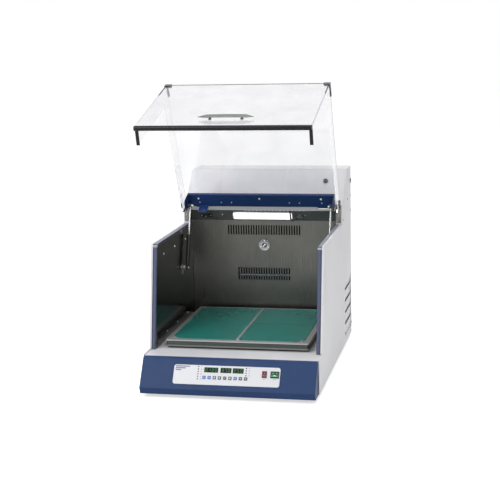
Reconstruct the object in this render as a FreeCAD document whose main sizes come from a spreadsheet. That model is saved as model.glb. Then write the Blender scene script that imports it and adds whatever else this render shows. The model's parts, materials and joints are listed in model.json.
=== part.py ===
"""Benchtop incubator shaker: a heated chamber with a clear lifting hood over an orbiting platform.

X runs to the right, Y from the front to the rear and Z up, in millimetres. The origin is the
centre of the footprint on the bench. The hood stands open and the platform is at mid orbit.
"""
import FreeCAD, Part
import Sketcher
import math
import os

VECTOR = FreeCAD.Vector
ROTATION = FreeCAD.Rotation

# Driving dimensions in millimetres and degrees. Depths run back from the front edge of the
# control panel and heights run up from the underside of the cabinet, above the feet.
SIZES = {
    "body_depth": 835.0,
    "body_width": 540.0,
    "body_height": 594.0,
    "fascia_inset": 2.5,
    "foot_height": 12.0,
    "foot_radius": 17.0,
    "foot_inset": 70.0,
    "sheet": 1.5,
    "bend": 1.2,
    "wall": 19.0,
    "seat_gap": 0.3,
    "fascia_top_depth": 54.5,
    "fascia_top_drop": 3.5,
    "fascia_rear_depth": 66.0,
    "knee_height": 20.5,
    "chin_depth": 8.5,
    "fascia_wall": 3.0,
    "overlay_left": -165.8,
    "overlay_right": 159.0,
    "overlay_low": 17.0,
    "overlay_high": 77.6,
    "overlay_sheet": 1.6,
    "overlay_corner": 7.0,
    "window_low": 55.5,
    "window_high": 71.5,
    "window_proud": 0.8,
    "key_side": 9.6,
    "key_pitch": 15.9,
    "key_centre": -7.2,
    "key_row": 39.5,
    "key_proud": 1.4,
    "key_travel": 0.6,
    "rocker_row": 55.2,
    "deck_height": 103.5,
    "wall_foot_depth": 131.0,
    "wall_head_drop": 169.0,
    "front_lean": 10.7,
    "seal_thickness": 6.0,
    "rim_width": 6.0,
    "step_depth": 594.0,
    "step_drop": 104.0,
    "seam_depth": 654.5,
    "chamber_back_depth": 634.0,
    "header_depth": 612.0,
    "header_low_drop": 127.0,
    "lamp_plate_drop": 164.0,
    "slant_top_depth": 734.0,
    "slant_angle": 45.0,
    "rear_sheet_depth": 832.5,
    "hood_inset": 7.0,
    "hood_sheet": 4.0,
    "hood_side_depth": 60.0,
    "hood_top_drop": 108.6,
    "hood_rear_depth": 590.0,
    "hood_edge_gap": 1.5,
    "hood_open_angle": 64.0,
    "hinge_depth": 604.0,
    "hinge_drop": 109.5,
    "hinge_pin_radius": 3.0,
    "hinge_bar_gap": 5.0,
    "hinge_bar_width": 46.0,
    "hinge_bar_thickness": 11.0,
    "running_gap": 0.05,
    "strut_inset": 13.0,
    "strut_foot_depth": 496.0,
    "strut_foot_drop": 194.5,
    "strut_head_back": 39.0,
    "strut_head_rise": 4.5,
    "strut_tube_radius": 6.3,
    "strut_rod_radius": 3.0,
    "strut_tube_length": 112.0,
    "handle_length": 172.0,
    "handle_pitch": 96.0,
    "handle_rise": 57.0,
    "orbit_radius": 12.5,
    "platform_side": 450.0,
    "platform_depth": 382.0,
    "platform_rise": 27.5,
    "platform_rim": 21.0,
    "platform_rim_wall": 7.0,
    "mat_thickness": 2.0,
    "mat_margin": 17.0,
    "mat_chamfer": 26.0,
    "strip_width": 8.0,
    "carrier_gap": 18.0,
    "crank_depth": 480.0,
    "idler_depth": 285.0,
    "idler_side": 140.0,
    "crank_shaft_radius": 12.0,
    "crank_pin_radius": 8.0,
    "idler_shaft_radius": 9.0,
    "idler_pin_radius": 6.0,
    "crank_weight_radius": 66.0,
    "idler_weight_radius": 30.0,
    "web_drop": 17.5,
    "web_thickness": 12.0,
    "pulley_gap": 4.0,
    "pulley_thickness": 16.0,
    "crank_pulley_radius": 60.0,
    "motor_pulley_radius": 20.0,
    "motor_distance": 170.0,
    "belt_thickness": 2.4,
    "belt_width": 10.0,
    "slot_width": 4.6,
    "slot_pitch": 8.75,
    "upper_slot_drop": 16.5,
    "upper_slot_length": 33.7,
    "lower_slot_drop": 162.6,
    "lower_slot_length": 44.5,
    "fan_drop": 85.0,
    "duct_drop": 230.0,
    "heater_drop": 194.0,
    "fan_radius": 62.0,
    "duct_half": 190.0,
    "knob_inset": 67.0,
    "switch_inset": 53.0,
    "side_seam_height": 462.0,
}

doc = FreeCAD.newDocument("incubator_shaker")
sheet = doc.addObject("Spreadsheet::Sheet", "Sizes")


class Size:
    """A number that remembers the sheet expression it is worked out by."""

    def __init__(self, number, text):
        self.number = number
        self.text = text

    def __add__(self, other):
        return Size(self.number + number_of(other), f"({self.text} + {text_of(other)})")

    def __radd__(self, other):
        return Size(number_of(other) + self.number, f"({text_of(other)} + {self.text})")

    def __sub__(self, other):
        return Size(self.number - number_of(other), f"({self.text} - {text_of(other)})")

    def __rsub__(self, other):
        return Size(number_of(other) - self.number, f"({text_of(other)} - {self.text})")

    def __mul__(self, other):
        return Size(self.number * number_of(other), f"({self.text} * {text_of(other)})")

    def __rmul__(self, other):
        return Size(number_of(other) * self.number, f"({text_of(other)} * {self.text})")

    def __truediv__(self, other):
        return Size(self.number / number_of(other), f"({self.text} / {text_of(other)})")

    def __rtruediv__(self, other):
        return Size(number_of(other) / self.number, f"({text_of(other)} / {self.text})")

    def __neg__(self):
        return Size(-self.number, f"(0 - {self.text})")


def number_of(value):
    return value.number if isinstance(value, Size) else float(value)


def text_of(value):
    return value.text if isinstance(value, Size) else f"({float(value)})"


def sine(angle):
    return Size(math.sin(math.radians(number_of(angle))), f"sin({text_of(angle)})")


def cosine(angle):
    return Size(math.cos(math.radians(number_of(angle))), f"cos({text_of(angle)})")


def tangent(angle):
    return Size(math.tan(math.radians(number_of(angle))), f"tan({text_of(angle)})")


def arctangent(ratio):
    """The angle, in plain degrees, whose tangent is the ratio."""
    number = math.degrees(math.atan(number_of(ratio)))
    return Size(number, f"(atan({text_of(ratio)}) / 1 deg)")


def root(value):
    return Size(math.sqrt(number_of(value)), f"sqrt({text_of(value)})")


class Sheet:
    """Every alias of the spreadsheet as an attribute that holds its Size."""


for row, (alias, value) in enumerate(SIZES.items(), start=1):
    sheet.set(f"A{row}", alias.replace("_", " "))
    sheet.set(f"B{row}", str(value))
    sheet.setAlias(f"B{row}", alias)
    setattr(Sheet, alias, Size(value, f"Sizes.{alias}"))
doc.recompute()
s = Sheet


def at_depth(value):
    """Y of a place that lies this far behind the front edge."""
    return value - s.body_depth / 2


def at_height(value):
    """Z of a place that lies this far above the underside of the cabinet."""
    return value + s.foot_height


def bind(thing, path, value):
    """Tie a property to its sheet expression, or set it where it is a plain number."""
    if isinstance(value, Size):
        thing.setExpression(path, value.text)
    elif path.startswith("Placement.Base") or path.startswith("AttachmentOffset"):
        thing.setExpression(path, str(value))
    else:
        setattr(thing, path, value)


PLANES = {"across": "YZ_Plane", "front": "XZ_Plane", "plan": "XY_Plane"}
AXES = {"x": "X_Axis", "y": "Y_Axis", "z": "Z_Axis"}
pieces = []
cuts = []


class Piece:
    """One sub-part: a body whose sketches and features are bound to the sheet.

    Sketches on "across" take (y, z), on "front" (x, z) and on "plan" (x, y). Pads on "across"
    and "plan" grow towards +X and +Z, pads on "front" towards the front, and cuts the other way.
    """

    def __init__(self, label):
        self.body = doc.addObject("PartDesign::Body", label)
        self.body.Label = label
        self.count = 0
        pieces.append(self.body)

    def origin(self, role):
        return next(item for item in self.body.Origin.OriginFeatures if item.Role == role)

    def feature(self, kind):
        self.count += 1
        return self.body.newObject(kind, f"{self.body.Name}_{kind.split('::')[-1]}_{self.count}")

    def sketch(self, plane, away=0.0):
        """An empty sketch on a plane, moved to the row coordinate given by away."""
        made = self.feature("Sketcher::SketchObject")
        made.AttachmentSupport = [(self.origin(PLANES[plane]), "")]
        made.MapMode = "FlatFace"
        bind(made, "AttachmentOffset.Base.z", -1 * away if plane == "front" else away)
        return made

    def outline(self, plane, points, away=0.0):
        made = self.sketch(plane, away)
        add_outline(made, points)
        return made

    def rectangle(self, plane, low, high, away=0.0):
        return self.outline(plane, corners(low, high), away)

    def circle(self, plane, centre, radius, away=0.0):
        made = self.sketch(plane, away)
        add_circle(made, centre, radius)
        return made

    def pad(self, profile, length, both=False, back=False):
        made = self.feature("PartDesign::Pad")
        made.Profile = profile
        bind(made, "Length", length)
        made.SideType = "Symmetric" if both else "One side"
        made.Reversed = back
        return made

    def cut(self, profile, length=None, both=False, back=False):
        made = self.feature("PartDesign::Pocket")
        made.Profile = profile
        if length is None:
            made.Type = "ThroughAll"
        else:
            bind(made, "Length", length)
        made.SideType = "Symmetric" if both else "One side"
        made.Reversed = back
        cuts.append(made)
        return made

    def lathe(self, profile, y=0.0, z=0.0):
        """Turn a profile of (distance to the rear, radius) about an axis that runs to the rear."""
        made = self.sketch("across", 0.0)
        bind(made, "AttachmentOffset.Base.x", y)
        bind(made, "AttachmentOffset.Base.y", z)
        add_outline(made, profile)
        turned = self.feature("PartDesign::Revolution")
        turned.Profile = made
        turned.ReferenceAxis = (made, ["H_Axis"])
        turned.Angle = 360
        return turned

    def row(self, original, axis, length, count):
        """Repeat a feature along an axis, the given number of times over the given length."""
        made = self.feature("PartDesign::LinearPattern")
        made.Originals = [original]
        made.Direction = (self.origin(AXES[axis]), [""])
        bind(made, "Length", length)
        made.Occurrences = count
        self.body.Tip = made
        return made

    def polar(self, original, axis, count):
        """Repeat a feature round an axis of the body."""
        made = self.feature("PartDesign::PolarPattern")
        made.Originals = [original]
        made.Axis = (self.origin(AXES[axis]), [""])
        made.Angle = 360
        made.Occurrences = count
        self.body.Tip = made
        return made

    def mirror(self, originals, plane="across"):
        made = self.feature("PartDesign::Mirrored")
        made.Originals = originals
        made.MirrorPlane = (self.origin(PLANES[plane]), [""])
        self.body.Tip = made
        return made

    def fillet(self, radius, chosen):
        """Round the edges of the shape so far for which chosen(edge) is true."""
        doc.recompute()
        base = self.body.Tip
        names = [f"Edge{i}" for i, edge in enumerate(base.Shape.Edges, start=1) if chosen(edge)]
        made = self.feature("PartDesign::Fillet")
        made.Base = (base, names)
        bind(made, "Radius", radius)
        return made

    def place(self, x=0.0, y=0.0, z=0.0, turn=None, about=(1, 0, 0)):
        """Set the body down in the row frame, turned about one axis by a bound angle."""
        if turn is not None:
            angle = number_of(turn)
            self.body.Placement = FreeCAD.Placement(VECTOR(0, 0, 0), ROTATION(VECTOR(*about), angle))
            self.body.setExpression("Placement.Rotation.Angle", text_of(turn))
        bind(self.body, "Placement.Base.x", x)
        bind(self.body, "Placement.Base.y", y)
        bind(self.body, "Placement.Base.z", z)


def corners(low, high):
    return [(low[0], low[1]), (high[0], low[1]), (high[0], high[1]), (low[0], high[1])]


def add_outline(sketch, points):
    """A closed outline of straight edges, each corner tied to its two sheet expressions."""
    first = sketch.GeometryCount
    spots = [VECTOR(number_of(x), number_of(y), 0) for x, y in points]
    for start, end in zip(spots, spots[1:] + spots[:1]):
        sketch.addGeometry(Part.LineSegment(start, end), False)
    for index, (x, y) in enumerate(points):
        edge = first + index
        following = first + (index + 1) % len(points)
        sketch.addConstraint(Sketcher.Constraint("Coincident", edge, 2, following, 1))
        tie(sketch, Sketcher.Constraint("DistanceX", -1, 1, edge, 1, number_of(x)), x)
        tie(sketch, Sketcher.Constraint("DistanceY", -1, 1, edge, 1, number_of(y)), y)


def add_circle(sketch, centre, radius):
    edge = sketch.GeometryCount
    middle = VECTOR(number_of(centre[0]), number_of(centre[1]), 0)
    sketch.addGeometry(Part.Circle(middle, VECTOR(0, 0, 1), number_of(radius)), False)
    tie(sketch, Sketcher.Constraint("DistanceX", -1, 1, edge, 3, number_of(centre[0])), centre[0])
    tie(sketch, Sketcher.Constraint("DistanceY", -1, 1, edge, 3, number_of(centre[1])), centre[1])
    tie(sketch, Sketcher.Constraint("Radius", edge, number_of(radius)), radius)


def add_slot(sketch, middle, low, high, width):
    """A slot with round ends that runs between two values of the sketch's second axis."""
    first = sketch.GeometryCount
    radius = width / 2
    bottom = low + radius
    top = high - radius
    x, half, y_low, y_high = (number_of(value) for value in (middle, radius, bottom, top))
    normal = VECTOR(0, 0, 1)
    sketch.addGeometry(Part.LineSegment(VECTOR(x + half, y_low, 0), VECTOR(x + half, y_high, 0)), False)
    sketch.addGeometry(Part.ArcOfCircle(Part.Circle(VECTOR(x, y_high, 0), normal, half), 0, math.pi), False)
    sketch.addGeometry(Part.LineSegment(VECTOR(x - half, y_high, 0), VECTOR(x - half, y_low, 0)), False)
    lower = Part.Circle(VECTOR(x, y_low, 0), normal, half)
    sketch.addGeometry(Part.ArcOfCircle(lower, math.pi, math.tau), False)
    for edge in range(4):
        sketch.addConstraint(Sketcher.Constraint("Tangent", first + edge, 2, first + (edge + 1) % 4, 1))
    sketch.addConstraint(Sketcher.Constraint("Equal", first + 1, first + 3))
    tie(sketch, Sketcher.Constraint("Radius", first + 1, half), radius)
    for arc, height, value in ((first + 1, y_high, top), (first + 3, y_low, bottom)):
        tie(sketch, Sketcher.Constraint("DistanceX", -1, 1, arc, 3, x), middle)
        tie(sketch, Sketcher.Constraint("DistanceY", -1, 1, arc, 3, height), value)


def add_blade(sketch, inner, outer, sweep, thickness):
    """A fan blade that leaves the inner radius straight outwards and bends back by its sweep."""
    first = sketch.GeometryCount
    span = outer - inner
    bow = (span * span + sweep * sweep) / (2 * sweep)
    turn = math.pi / 2 - math.asin(number_of(span / bow))
    centre = VECTOR(number_of(inner), -number_of(bow), 0)
    faces = [bow - thickness / 2, bow + thickness / 2]
    for radius in faces:
        circle = Part.Circle(centre, VECTOR(0, 0, 1), number_of(radius))
        sketch.addGeometry(Part.ArcOfCircle(circle, turn, math.pi / 2), False)
    for angle in (turn, math.pi / 2):
        away = VECTOR(math.cos(angle), math.sin(angle), 0)
        sketch.addGeometry(Part.LineSegment(*[centre + away * number_of(radius) for radius in faces]), False)
    for edge, radius in enumerate(faces):
        arc = first + edge
        tip = inner + radius * span / bow
        for end in (1, 2):
            sketch.addConstraint(Sketcher.Constraint("Coincident", arc, end, first + 1 + end, 1 + edge))
        tie(sketch, Sketcher.Constraint("Radius", arc, number_of(radius)), radius)
        tie(sketch, Sketcher.Constraint("DistanceX", -1, 1, arc, 3, number_of(inner)), inner)
        tie(sketch, Sketcher.Constraint("DistanceY", -1, 1, arc, 3, -number_of(bow)), -1 * bow)
        tie(sketch, Sketcher.Constraint("DistanceX", -1, 1, arc, 1, number_of(tip)), tip)


def hexagon(centre, reach):
    """The corners of a hexagon whose points lie at this distance from its centre."""
    turns = [math.radians(60 * step) for step in range(6)]
    return [(centre[0] + reach * math.cos(turn), centre[1] + reach * math.sin(turn)) for turn in turns]


def tie(sketch, constraint, value):
    index = sketch.addConstraint(constraint)
    if isinstance(value, Size):
        sketch.setExpression(f"Constraints[{index}]", value.text)


def parallel(edge, direction):
    """Whether an edge is straight and runs along the direction."""
    if edge.Curve.TypeId != "Part::GeomLine":
        return False
    return edge.Curve.Direction.cross(VECTOR(*direction)).Length < 1e-6


def upright(edge):
    return parallel(edge, (0, 0, 1))


def along(edge, y, z):
    """Whether an edge runs along X through the place (y, z)."""
    spot = edge.CenterOfMass
    return parallel(edge, (1, 0, 0)) and math.hypot(spot.y - number_of(y), spot.z - number_of(z)) < 0.05


# Places that several sub-parts share. Heights in the upper half hang from the top of the housing,
# and those of the drive and the platform go with the deck.
half_width = s.body_width / 2
inner_side = half_width - s.wall
fascia_width = s.body_width - 2 * s.fascia_inset
hood_width = s.body_width - 2 * s.hood_inset
strut_side = inner_side - s.strut_inset
step_height = s.body_height - s.step_drop
wall_head_height = s.body_height - s.wall_head_drop
hinge_height = s.body_height - s.hinge_drop
hood_top_height = s.body_height - s.hood_top_drop
header_low_height = s.body_height - s.header_low_drop
lamp_plate_low_height = s.body_height - s.lamp_plate_drop
fascia_top_height = s.deck_height - s.fascia_top_drop
platform_top_height = s.deck_height + s.platform_rise
web_low_height = s.deck_height - s.web_drop
pulley_low_height = web_low_height - s.pulley_gap - s.pulley_thickness
deck_top = at_height(s.deck_height)
knee = (at_depth(0.0), at_height(s.knee_height))
fascia_slope = arctangent((fascia_top_height - s.knee_height) / s.fascia_top_depth)
slant_rise = tangent(s.slant_angle)
platform_centre = at_depth(s.platform_depth)
hinge = (at_depth(s.hinge_depth), at_height(hinge_height))


def front_edge(height, out=0.0):
    """Y of the leaning front line of the chamber walls, moved outwards by a distance."""
    run = (height - s.deck_height) * tangent(s.front_lean)
    return at_depth(s.wall_foot_depth + run - out / cosine(s.front_lean))


def slant_depth(height):
    """Y of the slanted face of the rear housing at a height."""
    return at_depth(s.slant_top_depth - (s.body_height - height) / slant_rise)


# Base pan: folded sheet tray that closes the cabinet from below and carries the drive, with a
# row of vents between the crank and the motor.
pan = Piece("base_pan")
pan_side = half_width - s.sheet
pan_front = at_depth(s.fascia_rear_depth)
pan_rear = at_depth(s.rear_sheet_depth - s.sheet)
pan_lip = 22.0
pan.pad(pan.rectangle("plan", (-pan_side, pan_front), (pan_side, pan_rear), at_height(0.0)), pan_lip)
pan.cut(pan.rectangle("plan", (-pan_side + s.sheet, pan_front + s.sheet),
                      (pan_side - s.sheet, pan_rear - s.sheet), at_height(pan_lip)),
        pan_lip - s.sheet)
pan.fillet(s.bend, lambda edge: edge.BoundBox.ZMax < number_of(s.foot_height) + 0.01)
pan_vent = pan.sketch("plan", at_height(s.sheet))
pan_vent_count = 13
pan_vent_pitch = 30.0
pan_vent_left = pan_vent_pitch * (1 - pan_vent_count) / 2
vent_run = (at_depth(s.crank_depth) + 55.0, at_depth(s.crank_depth) + 105.0)
add_slot(pan_vent, pan_vent_left, *vent_run, s.slot_width)
pan.row(pan.cut(pan_vent, 2 * s.sheet), "x", pan_vent_pitch * (pan_vent_count - 1), pan_vent_count)

# Feet: four rubber feet under the pan, rounded where they meet the bench.
feet = Piece("feet")
foot_x = half_width - s.foot_inset
foot_spots = [(x, y) for x in (-foot_x, foot_x)
              for y in (at_depth(s.fascia_rear_depth + s.foot_inset),
                        at_depth(s.body_depth - s.foot_inset))]
foot_pads = feet.sketch("plan", 0.0)
for spot in foot_spots:
    add_circle(foot_pads, spot, s.foot_radius)
feet.pad(foot_pads, s.foot_height)
feet.fillet(2.5, lambda edge: edge.Curve.TypeId == "Part::GeomCircle" and edge.BoundBox.ZMax < 1)

# Fascia: hollow moulded front of the cabinet, with rounded folds above the chin, at the knee and
# along its top, and a window behind the control panel.
fascia = Piece("fascia")
fascia_fold = 3.0
slope_back = s.fascia_wall / sine(fascia_slope)
fascia_rear = at_depth(s.fascia_rear_depth)
fascia_crest = (at_depth(s.fascia_top_depth), at_height(fascia_top_height))
fascia_chin = (at_depth(s.chin_depth), at_height(0.0))
fascia_outline = [
    (fascia_rear - s.seat_gap, at_height(0.0)),
    (fascia_rear - s.seat_gap, deck_top),
    fascia_crest,
    knee,
    fascia_chin,
]
fascia.pad(fascia.outline("across", fascia_outline), fascia_width, both=True)
fascia.fillet(fascia_fold, lambda edge: any(along(edge, *fold) for fold in (fascia_crest, knee, fascia_chin)))
hollow = [
    (fascia_rear, at_height(s.fascia_wall)),
    (fascia_rear, at_height(s.deck_height - s.fascia_wall * 1.3)),
    (fascia_crest[0] + slope_back * 0.7, fascia_crest[1] - s.fascia_wall),
    (at_depth(slope_back), at_height(s.knee_height)),
    (at_depth(s.chin_depth + s.fascia_wall), at_height(s.fascia_wall)),
]
fascia.cut(fascia.outline("across", hollow), fascia_width - 2 * s.fascia_wall, both=True)
panel_margin = (12.0, 6.0, 2.5, 3.0)
panel_hole = fascia.rectangle("plan", (s.overlay_left + panel_margin[0], s.overlay_low + panel_margin[1]),
                              (s.overlay_right - panel_margin[2], s.overlay_high - panel_margin[3]))
panel_hole.AttachmentOffset = FreeCAD.Placement(VECTOR(0, 0, 0), ROTATION(VECTOR(1, 0, 0), 50))
panel_hole.setExpression("AttachmentOffset.Rotation.Angle", fascia_slope.text)
panel_hole.setExpression("AttachmentOffset.Base.y", knee[0].text)
panel_hole.setExpression("AttachmentOffset.Base.z", knee[1].text)
fascia.cut(panel_hole, s.fascia_wall * 2)

# The pieces of the control panel are drawn on its face: x across, y up the slope, z outwards.
window_spans = [(-72.6, -29.7), (-22.7, 10.9), (14.8, 48.2)]
rockers = {"power_rocker": (111.8, 15.0, 21.0), "motion_rocker": (143.0, 26.5, 21.0)}
bezel_rim = 1.8
key_centres = [s.key_centre + s.key_pitch * (number - 5) for number in range(1, 10)]
panel_face = s.seat_gap + s.overlay_sheet


def on_fascia(piece):
    piece.place(y=knee[0], z=knee[1], turn=fascia_slope)


def square(centre, side):
    return (centre[0] - side / 2, centre[1] - side / 2), (centre[0] + side / 2, centre[1] + side / 2)


def around(centre, width, tall, inset=0.0):
    """The two corners of a rectangle about a centre, drawn in by an inset."""
    half_x = width / 2 - inset
    half_y = tall / 2 - inset
    return (centre[0] - half_x, centre[1] - half_y), (centre[0] + half_x, centre[1] + half_y)


# Overlay plate: the pale panel with cut-outs for the windows, the keys and both rockers.
overlay = Piece("overlay_plate")
overlay.pad(overlay.rectangle("plan", (s.overlay_left, s.overlay_low),
                              (s.overlay_right, s.overlay_high), s.seat_gap), s.overlay_sheet)
overlay.fillet(s.overlay_corner, upright)
openings = overlay.sketch("plan", panel_face)
for left, right in window_spans:
    add_outline(openings, corners((left, s.window_low), (right, s.window_high)))
for centre in key_centres:
    add_outline(openings, corners(*square((centre, s.key_row), s.key_side + 2 * s.seat_gap)))
for centre, width, tall in rockers.values():
    add_outline(openings, corners(*around((centre, s.rocker_row), width, tall)))
overlay.cut(openings)
on_fascia(overlay)

# Display windows: three tinted lenses that stand a little proud of the plate.
windows = Piece("display_windows")
lens_foot = -2.0
lenses = windows.sketch("plan", lens_foot)
for left, right in window_spans:
    add_outline(lenses, corners((left + s.seat_gap, s.window_low + s.seat_gap),
                                (right - s.seat_gap, s.window_high - s.seat_gap)))
windows.pad(lenses, panel_face + s.window_proud - lens_foot)
windows.fillet(1.0, upright)
on_fascia(windows)

# Keys: nine separate caps that press straight into the panel.
key_foot = -1.2
key_corner = 1.2
for number, centre in enumerate(key_centres, start=1):
    key = Piece(f"key_{number}")
    key.pad(key.rectangle("plan", *square((centre, s.key_row), s.key_side), key_foot),
            panel_face + s.key_proud - key_foot)
    key.fillet(key_corner, upright)
    on_fascia(key)

# Rocker bezels: black frames snapped into the plate, with a bearing hole in each side wall for
# the pins of the rocker.
bezels = Piece("rocker_bezels")
bezel_foot = -3.0
bezel_proud = 1.6
rocker_pivot = 1.0
pivot_radius = 1.3
pivot_reach = 1.0
frames = bezels.sketch("plan", bezel_foot)
for centre, width, tall in rockers.values():
    add_outline(frames, corners(*around((centre, s.rocker_row), width, tall, s.seat_gap)))
    add_outline(frames, corners(*around((centre, s.rocker_row), width, tall, bezel_rim)))
bezels.pad(frames, panel_face + bezel_proud - bezel_foot)
for centre, width, tall in rockers.values():
    bezels.cut(bezels.circle("across", (s.rocker_row, rocker_pivot), pivot_radius + s.running_gap, centre),
               width - 2 * bezel_rim + 2 * pivot_reach + 0.4, both=True)
on_fascia(bezels)

# Rockers: each tips on two pins about an axis across the panel, with its upper half pushed in at
# rest. Both halves of its face are dished for the finger.
dish_radius = 30.0
dish_depth = 0.35
foot_out = -2.0
upper_out = 1.6
ridge_out = 3.2
lower_out = 5.4
for label, (centre, width, tall) in rockers.items():
    rocker = Piece(label)
    reach = tall / 2 - bezel_rim - 3 * s.seat_gap
    profile = [(-1 * reach, foot_out), (reach, foot_out), (reach, upper_out), (0.0, ridge_out),
               (-1 * reach, lower_out)]
    outline = [(s.rocker_row + y, rocker_pivot + z) for y, z in profile]
    rocker.pad(rocker.outline("across", outline, centre), width - 2 * bezel_rim - 2 * s.seat_gap, both=True)
    for way, end_out in ((1, upper_out), (-1, lower_out)):
        run = number_of(reach)
        slope = math.atan2(ridge_out - end_out, run)
        lift = dish_radius - dish_depth
        dish_y = way * (run / 2 + lift * math.sin(slope))
        dish_z = (ridge_out + end_out) / 2 + lift * math.cos(slope)
        dish = (s.rocker_row + dish_y, rocker_pivot + dish_z)
        rocker.cut(rocker.circle("across", dish, dish_radius, centre), width, both=True)
    rocker.pad(rocker.circle("across", (s.rocker_row, rocker_pivot), pivot_radius, centre),
               width - 2 * bezel_rim + 2 * pivot_reach, both=True)
    on_fascia(rocker)

# Control board: the circuit board behind the panel, carrying the displays and the key contacts.
board = Piece("control_board")
board_low = -7.0
board_sheet = 1.6
board_face = board_low + board_sheet
display_margin = 2.0
post_radius = 3.0
board.pad(board.rectangle("plan", (s.overlay_left + 16, s.overlay_low + 9),
                          (s.rocker_row + 38.0, s.overlay_high - 6), board_low), board_sheet)
board_posts = board.sketch("plan", board_face)
for post in [(x, y) for x in (-140.0, 86.0) for y in (30.0, 66.0)]:
    add_circle(board_posts, post, post_radius)
board.pad(board_posts, -1 * s.fascia_wall + s.seat_gap - board_face)
for left, right in window_spans:
    board.pad(board.rectangle("plan", (left + display_margin, s.window_low + display_margin),
                              (right - display_margin, s.window_high - display_margin), board_face),
              lens_foot - board_face - s.seat_gap)
contact_side = 6.0
contacts = board.sketch("plan", board_face)
for centre in key_centres:
    add_outline(contacts, corners(*square((centre, s.key_row), contact_side)))
board.pad(contacts, key_foot - s.key_travel - s.running_gap - board_face)
on_fascia(board)

# Deck: white sheet over the drive, the floor of the chamber, with a raised collar round each of
# the three crank holes, so that a spill stays in the chamber.
deck = Piece("deck")
deck_side = half_width - s.sheet - s.seat_gap
deck_front = at_depth(s.fascia_rear_depth)
deck_rear = at_depth(s.chamber_back_depth + 18.0)
deck_apron = 40.0
collar_rise = 2.0
collar_wall = 3.0
hole_room = 5.0
drive_holes = [((0.0, at_depth(s.crank_depth)), s.orbit_radius + s.crank_pin_radius + hole_room)]
for side in (-1, 1):
    drive_holes.append(((side * s.idler_side, at_depth(s.idler_depth)),
                        s.orbit_radius + s.idler_pin_radius + hole_room))
deck.pad(deck.rectangle("plan", (-deck_side, deck_front), (deck_side, deck_rear), deck_top - s.sheet),
         s.sheet)
deck.pad(deck.rectangle("plan", (-deck_side, deck_front), (deck_side, deck_front + s.sheet),
                        deck_top - deck_apron), deck_apron - s.sheet)
deck.fillet(s.bend, lambda edge: along(edge, deck_front, deck_top))
collars = deck.sketch("plan", deck_top)
for spot, radius in drive_holes:
    add_circle(collars, spot, radius + collar_wall)
deck.pad(collars, collar_rise)
bores = deck.sketch("plan", deck_top + collar_rise)
for spot, radius in drive_holes:
    add_circle(bores, spot, radius)
deck.cut(bores)

# Side covers: white outer sheets, folded in along the front and top edge beside the rubber strip
# and across the step beside the hinge.
wall_head = at_height(wall_head_height)
wall_top = wall_head - s.seal_thickness
step_y = at_depth(s.step_depth)
step_top = at_height(step_height)
cover_foot = s.deck_height + 2.5
seam_head = at_height(s.body_height) - (s.slant_top_depth - s.seam_depth) * slant_rise
cover_outline = [
    (at_depth(s.fascia_rear_depth), at_height(0.0)),
    (at_depth(s.seam_depth), at_height(0.0)),
    (at_depth(s.seam_depth), seam_head),
    (slant_depth(step_height), step_top),
    (step_y, step_top),
    (step_y, wall_head),
    (front_edge(wall_head_height), wall_head),
    (front_edge(cover_foot), at_height(cover_foot)),
    (at_depth(s.fascia_rear_depth), at_height(cover_foot)),
]
rim_outline = [
    (front_edge(cover_foot), at_height(cover_foot)),
    (front_edge(wall_head_height), wall_head),
    (step_y, wall_head),
    (step_y, wall_head - s.sheet),
    (front_edge(wall_head_height - s.sheet, -1 * s.sheet), wall_head - s.sheet),
    (front_edge(cover_foot, -1 * s.sheet), at_height(cover_foot)),
]
return_outline = [
    (step_y, wall_top),
    (step_y, step_top),
    (slant_depth(step_height), step_top),
    (slant_depth(step_height), step_top - s.sheet),
    (step_y + s.sheet, step_top - s.sheet),
    (step_y + s.sheet, wall_top),
]
for label, side in (("side_cover_left", -1), ("side_cover_right", 1)):
    cover = Piece(label)
    outer = side * half_width
    cover.pad(cover.outline("across", cover_outline, outer), s.sheet, back=side > 0)
    cover.pad(cover.outline("across", rim_outline, outer), s.rim_width, back=side > 0)
    cover.pad(cover.outline("across", return_outline, outer), s.wall, back=side > 0)

# Side liners: insulated stainless panels that stand on the deck inside the side covers, each with
# a lower rail and the hexagon-based ball stud of its gas strut.
liners = Piece("side_liners")
rail_height = 43.0
rail_sheet = 1.2
stud_sheet = 3.0
stud_radius = 4.0
stud_hexagon = 6.5
stud_nut = 3.5
liner_head = step_top - s.sheet - s.seat_gap
liner_outline = [
    (front_edge(s.deck_height, -1 * s.seal_thickness), deck_top),
    (at_depth(s.chamber_back_depth), deck_top),
    (at_depth(s.chamber_back_depth), liner_head),
    (step_y + s.sheet + s.seat_gap, liner_head),
    (step_y + s.sheet + s.seat_gap, wall_top),
    (front_edge(wall_head_height - s.seal_thickness, -1 * s.seal_thickness), wall_top),
]
liner = liners.pad(liners.outline("across", liner_outline, inner_side), s.wall - s.sheet - s.seat_gap)
rail_outline = corners((front_edge(s.deck_height, -20.0), deck_top),
                       (at_depth(s.chamber_back_depth) - 6.0, deck_top + rail_height))
rail = liners.pad(liners.outline("across", rail_outline, inner_side), rail_sheet, back=True)
stud_y = at_depth(s.strut_foot_depth)
stud_z = hinge[1] - s.strut_foot_drop
stud_plate = liners.pad(liners.rectangle("across", (stud_y - 11, stud_z - 20), (stud_y + 11, stud_z + 14),
                                         inner_side), stud_sheet, back=True)
stud_face = inner_side - stud_sheet
stud_base = liners.pad(liners.outline("across", hexagon((stud_y, stud_z), stud_hexagon), stud_face),
                       stud_nut, back=True)
stud = liners.pad(liners.circle("across", (stud_y, stud_z), stud_radius, stud_face),
                  stud_face - strut_side - s.strut_tube_radius + 1.0 - s.seat_gap, back=True)
liners.mirror([liner, rail, stud_plate, stud_base, stud])

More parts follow.
